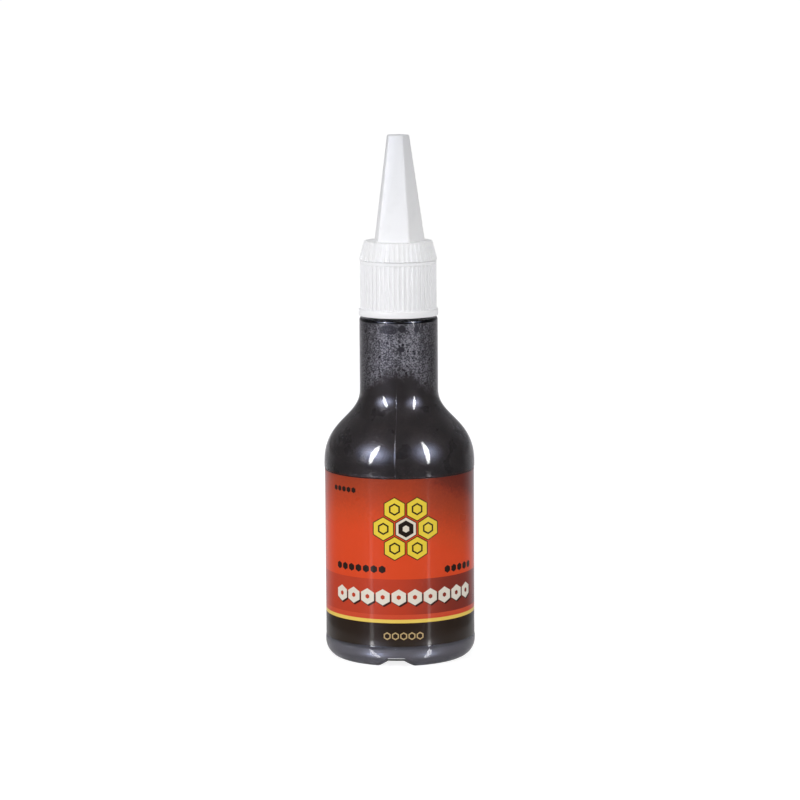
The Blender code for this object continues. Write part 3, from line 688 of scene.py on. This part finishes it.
def honeycomb(tree, point, pitch):
    """Hexagons of a pitch in millimetres: the nodes for each one's edge distance, from 0.5 in, and its
    centre."""
    scaled = add_node(tree, "VectorMath", {0: point, "Scale": 1 / pitch}, operation="SCALE")
    half = (0.5, math.sqrt(3) / 2, 0.5)
    back = tuple(-share for share in half)
    even = add_node(tree, "VectorMath", {0: scaled, 1: half, 2: back}, operation="WRAP")
    shifted = add_node(tree, "VectorMath", {0: scaled, 1: (half[0], half[1], 0.0)}, operation="ADD")
    odd = add_node(tree, "VectorMath", {0: shifted, 1: half, 2: back}, operation="WRAP")
    even_reach = add_node(tree, "VectorMath", {0: even}, operation="LENGTH")
    odd_reach = add_node(tree, "VectorMath", {0: odd}, operation="LENGTH")
    use_odd = add_node(tree, "Math", {0: odd_reach, 1: even_reach}, operation="LESS_THAN")
    inside = add_node(tree, "Mix", {"Factor": use_odd, "A": even, "B": odd}, data_type="VECTOR")
    mirrored = add_node(tree, "VectorMath", {0: inside}, operation="ABSOLUTE")
    slanted = add_node(tree, "VectorMath", {0: mirrored, 1: (0.5, math.sqrt(3) / 2, 0.0)},
                       operation="DOT_PRODUCT")
    across = add_node(tree, "SeparateXYZ", {0: mirrored})
    reach = add_node(tree, "Math", {0: across.outputs["X"], 1: slanted}, operation="MAXIMUM")
    centre = add_node(tree, "VectorMath", {0: scaled, 1: inside}, operation="SUBTRACT")
    return reach, centre


def band(tree, height, low, high, soft=0.04):
    """1 between two values, such as heights on the label in millimetres, with edges as soft as ink on
    film."""
    middle, half = (low + high) / 2, (high - low) / 2
    away = add_node(tree, "Math", {0: height, 1: middle}, operation="SUBTRACT")
    away = add_node(tree, "Math", {0: away}, operation="ABSOLUTE")
    return add_node(tree, "MapRange", {"Value": away, "From Min": half + soft, "From Max": half - soft})


def hexagons(tree, print_map, middle, pitch, columns, rows, sizes):
    """Masks of a patch of hexagons with its middle at a place in millimetres: one mask for each (inner,
    outer) reach in sizes. Columns and rows are the (lowest, highest) places of their centres, in
    pitches."""
    from_middle = add_node(tree, "VectorMath", {0: print_map, 1: (*middle, 0.0)}, operation="SUBTRACT")
    reach, centre = honeycomb(tree, from_middle, pitch)
    centre_axes = add_node(tree, "SeparateXYZ", {0: centre})
    patch = add_node(tree, "Math",
                     {0: band(tree, centre_axes.outputs["X"], *columns),
                      1: band(tree, centre_axes.outputs["Y"], *rows)}, operation="MULTIPLY")
    return [
        add_node(tree, "Math", {0: patch, 1: band(tree, reach, low, high, 0.04 / pitch)},
                 operation="MULTIPLY")
        for low, high in sizes
    ]


# Printed polypropylene film under a clear varnish: satin, with the screen of the print faintly in its red.
# The print reads the strip's own map, in millimetres along it and up it, with 0 at the front.
printed_film, tree = new_material("printed_polypropylene_film")
print_map = add_node(tree, "UVMap", uv_map="millimetres")
axes = add_node(tree, "SeparateXYZ", {0: print_map})
height = axes.outputs["Y"]
object_place = add_node(tree, "TexCoord").outputs["Object"]
sideways = add_node(tree, "SeparateXYZ", {0: object_place})
screen = add_node(tree, "TexNoise", {"Vector": object_place, "Scale": 1500.0, "Detail": 2.0})
clouds = add_node(tree, "TexNoise", {"Vector": object_place, "Scale": 70.0, "Detail": 3.0})
uneven = add_node(tree, "Mix", {"Factor": 0.4, "A": screen, "B": clouds})
rise = add_node(tree, "MapRange",
                {"Value": uneven, "From Min": 0.3, "From Max": 0.7, "To Min": -1.6, "To Max": 1.6})
# Painted shade: the red is painted darker towards the right along object X, and it darkens towards the top
# of the label.
painted_shade_rightward = add_node(tree, "MapRange",
                     {"Value": sideways.outputs["X"], "From Min": 0.003, "From Max": 0.021, "To Max": 10.8})
height_and_painted_shade = add_node(tree, "Math", {0: painted_shade_rightward, 1: height}, operation="ADD")
tone_height = add_node(tree, "Math", {0: height_and_painted_shade, 1: rise}, operation="ADD")
tone = add_node(tree, "MapRange", {"Value": tone_height, "From Min": 30.0, "From Max": 60.0})
reds = add_node(tree, "ValToRGB", {0: tone})
stops = reds.color_ramp.elements
stops[0].color = linear("#E34B21")
stops[1].color = linear("#6A271B")
for stop, code in ((0.27, "#E34B21"), (0.43, "#D64B22"), (0.57, "#C04422"), (0.69, "#AB4021"),
                   (0.81, "#9B3A20"), (0.88, "#87311E"), (0.93, "#722B1C")):
    stops.new(stop).color = linear(code)

# The print: bands round the foot of the label, a rosette of seven hexagons, a row of pale ones with a dark
# shadow, and three short rows of small dark ones.
# Painted shade: the dark red band is painted darker towards the right along object X.
painted_shade_rightward = add_node(tree, "MapRange",
                     {"Value": sideways.outputs["X"], "From Min": -0.002, "From Max": 0.0165},
                     interpolation_type="SMOOTHSTEP")
dark_red_with_painted_shade = add_node(tree, "Mix", {"Factor": painted_shade_rightward, "A": linear("#C54126"), "B": linear("#853124")},
                    data_type="RGBA")
foot_inks = [
    (dark_red_with_painted_shade, band(tree, height, 15.2, 25.15)),
    ("#D54E30", band(tree, height, 13.8, 15.2)),
    ("#F5D463", band(tree, height, 12.85, 13.85)),
    ("#2A1E14", band(tree, height, 0.0, 12.85)),
]
petals = hexagons(tree, print_map, (1.7, 39.3), 6.3, (-1.2, 1.2), (-1.0, 1.0),
                  [(0.0, 0.475), (0.0, 0.435), (0.17, 0.24)])
heart = hexagons(tree, print_map, (1.7, 39.3), 6.3, (-0.2, 0.2), (-0.2, 0.2),
                 [(0.0, 0.435), (0.0, 0.33), (0.0, 0.14)])
frieze_shadow = hexagons(tree, print_map, (4.5, 19.65), 4.5, (-5.2, 4.2), (-0.3, 0.3), [(0.0, 0.44)])
frieze = hexagons(tree, print_map, (4.1, 20.1), 4.5, (-5.2, 4.2), (-0.3, 0.3), [(0.0, 0.44), (0.0, 0.13)])
gold_row = hexagons(tree, print_map, (0.9, 9.2), 2.3, (-2.2, 2.2), (-0.3, 0.3), [(0.28, 0.42)])
small_rows = [
    hexagons(tree, print_map, (-12.2, 27.9), 2.4, (-3.2, 3.2), (-0.3, 0.3), [(0.0, 0.40)]),
    hexagons(tree, print_map, (19.0, 27.2), 2.4, (-2.2, 2.2), (-0.3, 0.3), [(0.0, 0.40)]),
    hexagons(tree, print_map, (-17.3, 49.5), 1.8, (-2.2, 2.2), (-0.3, 0.3), [(0.0, 0.40)]),
]
inks = foot_inks + [
    ("#241A14", petals[0]), ("#F2D541", petals[1]), ("#241A14", petals[2]),
    ("#E9DFCE", heart[0]), ("#241A14", heart[1]), ("#E9DFCE", heart[2]),
    ("#3E2018", frieze_shadow[0]), ("#EDE6D8", frieze[0]), (dark_red_with_painted_shade, frieze[1]),
    ("#C9AE7C", gold_row[0]),
    *[("#2A1C16", row[0]) for row in small_rows],
]
sheet = reds
for ink, mask in inks:
    ink = linear(ink) if isinstance(ink, str) else ink
    sheet = add_node(tree, "Mix", {"Factor": mask, "A": sheet, "B": ink}, data_type="RGBA")

film_relief = add_node(tree, "Bump", {"Strength": 0.12, "Distance": 0.00005, "Height": screen})
varnish = add_node(tree, "MapRange",
                   {"Value": clouds, "From Min": 0.3, "From Max": 0.7, "To Min": 0.26, "To Max": 0.36})
label_shader = add_node(tree, "BsdfPrincipled", {
    "Base Color": sheet, "Roughness": varnish, "IOR": 1.45, "Specular IOR Level": 0.15,
    "Normal": film_relief, "Coat Weight": 0.6, "Coat Roughness": 0.08,
})
add_node(tree, "OutputMaterial", {"Surface": label_shader})

seam_half = LABEL_SEAM / LABEL_R / 2
label_rows = [(LABEL_R, LABEL_TOP_Z), (LABEL_R, LABEL_LOW_Z), (LABEL_R - LABEL_THICKNESS, LABEL_LOW_Z),
              (LABEL_R - LABEL_THICKNESS, LABEL_TOP_Z)]
label_angles = [-math.pi + seam_half + (math.tau - 2 * seam_half) * step / LABEL_COLUMNS
                for step in range(LABEL_COLUMNS + 1)]
label_rings = [[(radius * math.sin(angle), -radius * math.cos(angle), z) for radius, z in label_rows]
               for angle in label_angles]
label_mesh = lofted("label_strip", label_rings, flipped=True)
millimetres = label_mesh.uv_layers.new(name="millimetres")
for loop in label_mesh.loops:
    angle = label_angles[loop.vertex_index // 4]
    z = label_rows[loop.vertex_index % 4][1]
    millimetres.data[loop.index].uv = (angle * LABEL_R * 1000, z * 1000)
label = link("label_strip", label_mesh, printed_film)
smooth(label.data)
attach(label, "bottle")
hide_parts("label")


# Nozzle: the captive insert under the overcap, moulded in natural polyethylene. Its plug sits in the mouth,
# its flange on the lip, and the collar snaps over the bead above the flange.
POINT_TOP_Z = 0.1464
DECK_Z = 0.1170
POINT_HEIGHT = 0.0294
POINT_BASE_R = 0.00765
POINT_TOP_R = 0.0034
POINT_FACES = 5
POINT_WALL = 0.0010
NOZZLE_WALL = 0.00075
SPOUT_TOP_Z = 0.1425
BOSS_TOP_Z = 0.1156
BOSS_R = 0.0080
BEAD_R = 0.0086
BEAD_TOP_Z = 0.1131
COLLAR_TOP_Z = 0.1117
FLANGE_Z = 0.1090
FLANGE_TOP_Z = 0.1102
NOZZLE_FLANGE_R = 0.00885
PLUG_R = 0.00595
PLUG_LENGTH = 0.0046
PLUG_WALL = 0.0009
PLUG_CHAMFER = 0.0003
SPOUT_CHAMFER = 0.0002
SPOUT_CLEARANCE = 0.0005
BOSS_CHAMFER = 0.0006
BEAD_SLOPE = 0.0003
NOZZLE_COLUMNS = 96
FLAT_TOPS = (SPOUT_TOP_Z, POINT_TOP_Z, DECK_Z, BOSS_TOP_Z, COLLAR_TOP_Z, FLANGE_TOP_Z)
FLAT_TOP_DEPTH = 0.00005         # how far down from each of these heights its rougher finish reaches


def point_radius(height):
    share = (height - DECK_Z) / POINT_HEIGHT
    return POINT_BASE_R + (POINT_TOP_R - POINT_BASE_R) * share


def spout_radius(height):
    return point_radius(height) * math.cos(math.pi / POINT_FACES) - POINT_WALL - SPOUT_CLEARANCE


def moulded_white(name, code, roughness, soft):
    """Moulded white plastic: satin, but matt on the flat tops, where the mould is rougher. A little light
    passes into it, its skin has the mould's fine spark texture, and graphite is thumbed into it here and
    there. The point is painted a little greyer towards its tip, as painted shade."""
    material, tree = new_material(name)
    place = add_node(tree, "TexCoord").outputs["Object"]
    spark = add_node(tree, "TexNoise", {"Vector": place, "Scale": 2600.0, "Detail": 2.0})
    flow = add_node(tree, "TexNoise", {"Vector": place, "Scale": 160.0, "Detail": 4.0})
    thumbed = add_node(tree, "MapRange",
                       {"Value": flow, "From Min": 0.55, "From Max": 0.8, "To Min": 0.0, "To Max": 0.12})
    axes = add_node(tree, "SeparateXYZ", {0: place})
    # Painted shade: the point is painted greyer towards its tip.
    painted_tip_shade = add_node(tree, "MapRange", {"Value": axes.outputs["Z"], "From Min": 0.1168, "From Max": 0.146})
    wall = add_node(tree, "ValToRGB", {0: painted_tip_shade})
    wall.color_ramp.elements[0].color = linear(code)
    wall.color_ramp.elements[1].color = linear("#E0E1E4")
    wall.color_ramp.elements.new(0.02).color = linear("#F1F1F2")
    colour = add_node(tree, "Mix", {"Factor": thumbed, "A": wall, "B": linear("#9E9EA3")}, data_type="RGBA")
    satin = add_node(tree, "MapRange",
                     {"Value": flow, "From Min": 0.3, "From Max": 0.7, "To Min": roughness - 0.05,
                      "To Max": roughness + 0.06})
    for top in FLAT_TOPS:
        flat = add_node(tree, "Math", {0: axes.outputs["Z"], 1: top, 2: FLAT_TOP_DEPTH},
                        operation="COMPARE")
        satin = add_node(tree, "Math", {0: satin, 1: flat}, operation="MAXIMUM")
    bump = add_node(tree, "Bump", {"Strength": 0.15, "Distance": 0.00004, "Height": spark})
    shader = add_node(tree, "BsdfPrincipled", {
        "Base Color": colour, "Roughness": satin, "IOR": 1.5, "Specular IOR Level": 0.3, "Normal": bump,
        "Subsurface Weight": soft, "Subsurface Radius": (1.0, 1.0, 1.0), "Subsurface Scale": 0.0008,
    })
    add_node(tree, "OutputMaterial", {"Surface": shader})
    return material


tip_r = spout_radius(SPOUT_TOP_Z)
base_r = spout_radius(BOSS_TOP_Z)
nozzle_outside = [
    (tip_r - SPOUT_CHAMFER, SPOUT_TOP_Z),
    (tip_r, SPOUT_TOP_Z - SPOUT_CHAMFER),
    (base_r, BOSS_TOP_Z + SPOUT_CHAMFER),
    (base_r + SPOUT_CHAMFER, BOSS_TOP_Z),
    (BOSS_R - BOSS_CHAMFER, BOSS_TOP_Z),
    (BOSS_R, BOSS_TOP_Z - BOSS_CHAMFER),
    (BOSS_R, BEAD_TOP_Z),
    (BEAD_R, BEAD_TOP_Z - BEAD_SLOPE),
    (BEAD_R, COLLAR_TOP_Z + 2 * BEAD_SLOPE),
    (BOSS_R, COLLAR_TOP_Z + BEAD_SLOPE),
    (BOSS_R, FLANGE_TOP_Z),
    (NOZZLE_FLANGE_R, FLANGE_TOP_Z),
    (NOZZLE_FLANGE_R, FLANGE_Z),
    (PLUG_R, FLANGE_Z),
    (PLUG_R, FLANGE_Z - PLUG_LENGTH + PLUG_CHAMFER),
    (PLUG_R - PLUG_CHAMFER, FLANGE_Z - PLUG_LENGTH),
]
nozzle_inside = [
    (tip_r - NOZZLE_WALL, SPOUT_TOP_Z),
    (base_r - NOZZLE_WALL, BOSS_TOP_Z),
    (PLUG_R - PLUG_WALL, FLANGE_Z),
    (PLUG_R - PLUG_WALL, FLANGE_Z - PLUG_LENGTH),
]
natural_polyethylene = moulded_white("moulded_natural_polyethylene", "#EFEFEA", 0.4, 0.25)
nozzle_mesh = turned("nozzle_insert", nozzle_outside + nozzle_inside[::-1], even_columns(NOZZLE_COLUMNS))
nozzle = link("nozzle_insert", nozzle_mesh, natural_polyethylene)
smooth(nozzle.data)
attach(nozzle, "nozzle")
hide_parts("nozzle")


# Collar: white polypropylene screw ring, ribbed for the fingers above a plain foot ring. Its thread draws
# the flange of the nozzle down on the lip.
COLLAR_BOTTOM_Z = 0.0963
COLLAR_PLATE_Z = 0.1105
COLLAR_BORE_R = 0.00915
COLLAR_R = 0.01065
COLLAR_FLANGE_R = 0.0111
COLLAR_FLANGE_HEIGHT = 0.0015
COLLAR_PLAIN_BAND = 0.0009
COLLAR_TOP_ROUND = 0.0003
COLLAR_MOUTH_CHAMFER = 0.0005
RIB_LIFT = 0.0002                # of the ribs, the grooves and the step above the foot ring
GROOVE_LIFT = 0.0006
FOOT_STEP = 0.0004
FOOT_TOP_ROUND = 0.00035
FOOT_LOW_ROUND = 0.00015
BOSS_HOLE_R = 0.0083
RIB_COUNT = 48
RIB_DEPTH = 0.00026
RIB_WIDTH = 0.00080
THREAD_SIDE_CLEARANCE = 0.00035
COLLAR_THREAD_TURNS = 1.5
CAP_COLUMNS = 192
RIB_SHARP_ANGLE = math.radians(50)


def rib_mesh(name, top, bottom, width, depth):
    """One rounded rib at +X, from a top to a bottom point of the line of the rib tips. It is sunk in the
    wall."""
    around = [math.radians(a) for a in (-90, -60, -30, 0, 30, 60, 90)]
    rows = [(top, 0.0), (top, 0.75), (top, 1.0), (bottom, 1.0)]
    drops = [0.0, 0.30, 1.0, 0.0]
    rings = []
    for (end, share), drop in zip(rows, drops):
        radius, height = end
        height -= drop * depth
        ring = []
        for angle in around:
            out = (math.cos(angle) - 1.0) * depth - (1.0 - share) * depth
            ring.append((radius + max(out, -depth), math.sin(angle) * width / 2, height))
        ring += [(radius - 2 * depth, side * width / 2, height) for side in (1, -1)]
        rings.append(ring)
    return lofted(name, rings)


def ring_of_ribs(name, rib, count, material):
    """Geometry Nodes: sets a count of ribs evenly round Z, as one mesh."""
    tree = bpy.data.node_groups.new("ring_of_ribs", "GeometryNodeTree")
    tree.interface.new_socket("Geometry", in_out="INPUT", socket_type="NodeSocketGeometry")
    rib_socket = tree.interface.new_socket("Rib", in_out="INPUT", socket_type="NodeSocketObject")
    count_socket = tree.interface.new_socket("Count", in_out="INPUT", socket_type="NodeSocketInt")
    material_socket = tree.interface.new_socket("Material", in_out="INPUT",
                                                socket_type="NodeSocketMaterial")
    tree.interface.new_socket("Geometry", in_out="OUTPUT", socket_type="NodeSocketGeometry")
    given = tree.nodes.new("NodeGroupInput")
    spots = add_node(tree, "GeometryNodePoints", {"Count": given.outputs["Count"]})
    index = add_node(tree, "GeometryNodeInputIndex")
    step = add_node(tree, "Math", {0: math.tau, 1: given.outputs["Count"]}, operation="DIVIDE")
    angle = add_node(tree, "Math", {0: index, 1: step}, operation="MULTIPLY")
    turn = add_node(tree, "CombineXYZ", {"Z": angle})
    shape = add_node(tree, "GeometryNodeObjectInfo", {"Object": given.outputs["Rib"]})
    placed = add_node(tree, "GeometryNodeInstanceOnPoints", {
        "Points": spots, "Instance": shape.outputs["Geometry"], "Rotation": turn,
    })
    whole = add_node(tree, "GeometryNodeRealizeInstances", {"Geometry": placed})
    finished = add_node(tree, "GeometryNodeSetMaterial", {
        "Geometry": whole, "Material": given.outputs["Material"],
    })
    result = tree.nodes.new("NodeGroupOutput")
    tree.links.new(finished.outputs[0], result.inputs["Geometry"])
    carrier = link(name, bpy.data.meshes.new(name))
    nodes = carrier.modifiers.new("Ribs", "NODES")
    nodes.node_group = tree
    nodes[rib_socket.identifier] = rib
    nodes[count_socket.identifier] = count
    nodes[material_socket.identifier] = material
    carrier.data = evaluated(carrier)
    bpy.data.objects.remove(rib, do_unlink=True)
    return carrier


def joined(name, objects):
    """Puts the meshes of several objects in one mesh, and removes the rest."""
    with bpy.context.temp_override(active_object=objects[0], selected_editable_objects=objects,
                                   selected_objects=objects):
        bpy.ops.object.join()
    objects[0].name = name
    objects[0].data.name = name
    return objects[0]


def collar_thread_width(radius):
    """What the bottle's thread and the clearances leave of the pitch."""
    return THREAD_PITCH - thread_width(radius) - 2 * THREAD_SIDE_CLEARANCE


white_polypropylene = moulded_white("moulded_white_polypropylene", "#FAFAFC", 0.36, 0.12)
groove_r = COLLAR_R - RIB_DEPTH
ribs_top_z = COLLAR_TOP_Z - COLLAR_PLAIN_BAND
foot_top_z = COLLAR_BOTTOM_Z + COLLAR_FLANGE_HEIGHT
collar_outline = (
    [(BOSS_HOLE_R, COLLAR_TOP_Z), (COLLAR_R - COLLAR_TOP_ROUND, COLLAR_TOP_Z)]
    + arc((COLLAR_R - COLLAR_TOP_ROUND, COLLAR_TOP_Z - COLLAR_TOP_ROUND), COLLAR_TOP_ROUND, 90.0, 0.0,
          4)[1:]
    + [(COLLAR_R, ribs_top_z), (groove_r, ribs_top_z - RIB_DEPTH), (groove_r, foot_top_z + GROOVE_LIFT),
       (COLLAR_R, foot_top_z + FOOT_STEP)]
    + arc((COLLAR_FLANGE_R - FOOT_TOP_ROUND, foot_top_z), FOOT_TOP_ROUND, 75.0, 0.0, 4)
    + arc((COLLAR_FLANGE_R - FOOT_LOW_ROUND, COLLAR_BOTTOM_Z + FOOT_LOW_ROUND), FOOT_LOW_ROUND, 0.0, -90.0,
          3)
    + [(COLLAR_BORE_R + COLLAR_MOUTH_CHAMFER, COLLAR_BOTTOM_Z),
       (COLLAR_BORE_R, COLLAR_BOTTOM_Z + COLLAR_MOUTH_CHAMFER),
       (COLLAR_BORE_R, COLLAR_PLATE_Z), (BOSS_HOLE_R, COLLAR_PLATE_Z)]
)
collar_body = link("screw_collar", turned("screw_collar", collar_outline, even_columns(CAP_COLUMNS)),
                   white_polypropylene)
collar_thread = link("collar_thread", thread_mesh(
    "collar_thread", COLLAR_BORE_R, FINISH_R + FIT_CLEARANCE, collar_thread_width,
    THREAD_START_Z + THREAD_PITCH / 2, COLLAR_THREAD_TURNS))
cut_or_join(collar_body, [(collar_thread, "UNION")])
rib = rib_mesh("collar_rib", (COLLAR_R, ribs_top_z), (COLLAR_R, foot_top_z + RIB_LIFT), RIB_WIDTH, RIB_DEPTH)
collar_rib = link("collar_rib", rib)
collar_ribs = ring_of_ribs("collar_ribs", collar_rib, RIB_COUNT, white_polypropylene)
smooth(collar_body.data)
smooth(collar_ribs.data, RIB_SHARP_ANGLE)
collar = joined("screw_collar", [collar_body, collar_ribs])
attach(collar, "collar")
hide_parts("collar")


# Overcap: white polyethylene, pushed over the bead of the nozzle. A ribbed skirt, a flat deck, and a hollow
# five-sided point with a pin inside that closes the spout.
SKIRT_BOTTOM_Z = 0.1118
SKIRT_BORE_R = 0.0089
SKIRT_R = 0.0109
DECK_R = 0.0096
DECK_UNDERSIDE_Z = 0.1159
POINT_TURN = math.radians(5.6)
POINT_EDGE_RADIUS = 0.00045
POINT_TOP_WALL = 0.0014
PIN_ENTRY = 0.0016
PIN_SUNK = 0.0007                # into the top of the point
PIN_COLUMNS = 24
POINT_SUNK = 0.0005              # into the deck
SKIRT_CHAMFER = 0.0001
RIB_DROP = 0.00003
OVERCAP_SHARP_ANGLE = math.radians(30)


def faceted_point(name, low_z, high_z, wall):
    """A stretch of the five-sided point, with its flats moved in by a wall."""
    corner_inset = wall / math.cos(math.pi / POINT_FACES)
    rings = []
    for height in (low_z, high_z):
        radius = point_radius(height) - corner_inset
        angles = [POINT_TURN + turn for turn in even_columns(POINT_FACES)]
        rings.append([(radius * math.cos(a), radius * math.sin(a), height) for a in angles])
    return link(name, lofted(name, rings, flipped=True))


white_polyethylene = moulded_white("moulded_white_polyethylene", "#FAFAFB", 0.38, 0.15)
groove_top_r = DECK_R - 0.8 * RIB_DEPTH
skirt_outline = [
    (0.0, DECK_Z),
    (groove_top_r - SKIRT_CHAMFER, DECK_Z),
    (groove_top_r, DECK_Z - SKIRT_CHAMFER),
    (SKIRT_R - RIB_DEPTH, SKIRT_BOTTOM_Z + SKIRT_CHAMFER),
    (SKIRT_R - RIB_DEPTH - SKIRT_CHAMFER, SKIRT_BOTTOM_Z),
    (SKIRT_BORE_R, SKIRT_BOTTOM_Z),
    (SKIRT_BORE_R, BEAD_TOP_Z + FIT_CLEARANCE),
    (BOSS_HOLE_R, DECK_UNDERSIDE_Z),
    (0.0, DECK_UNDERSIDE_Z),
]
overcap_body = link("overcap", turned("overcap", skirt_outline, even_columns(CAP_COLUMNS)),
                    white_polyethylene)
point = faceted_point("point", DECK_Z - POINT_SUNK, POINT_TOP_Z, 0.0)
rounding = point.modifiers.new("Rounded edges", "BEVEL")
rounding.width = POINT_EDGE_RADIUS
rounding.segments = 4
point.data = evaluated(point)
pin_r = spout_radius(SPOUT_TOP_Z) - NOZZLE_WALL - FIT_CLEARANCE
cavity_top_z = POINT_TOP_Z - POINT_TOP_WALL
pin_low_z = SPOUT_TOP_Z - PIN_ENTRY
pin_outline = [
    (0.0, cavity_top_z + PIN_SUNK),
    (pin_r, cavity_top_z + PIN_SUNK),
    (pin_r, pin_low_z + pin_r / 2),
    (pin_r / 2, pin_low_z),
    (0.0, pin_low_z),
]
pin = link("pin", turned("pin", pin_outline, even_columns(PIN_COLUMNS)))
cavity = faceted_point("cavity", SKIRT_BOTTOM_Z, cavity_top_z, POINT_WALL)
cut_or_join(overcap_body, [(point, "UNION"), (cavity, "DIFFERENCE"), (pin, "UNION")])
rib = rib_mesh("skirt_rib", (DECK_R, DECK_Z - RIB_DROP), (SKIRT_R, SKIRT_BOTTOM_Z), RIB_WIDTH, RIB_DEPTH)
skirt_rib = link("skirt_rib", rib)
skirt_ribs = ring_of_ribs("skirt_ribs", skirt_rib, RIB_COUNT, white_polyethylene)
smooth(overcap_body.data, OVERCAP_SHARP_ANGLE)
smooth(skirt_ribs.data, RIB_SHARP_ANGLE)
overcap = joined("overcap_point", [overcap_body, skirt_ribs])
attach(overcap, "overcap")
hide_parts("overcap")
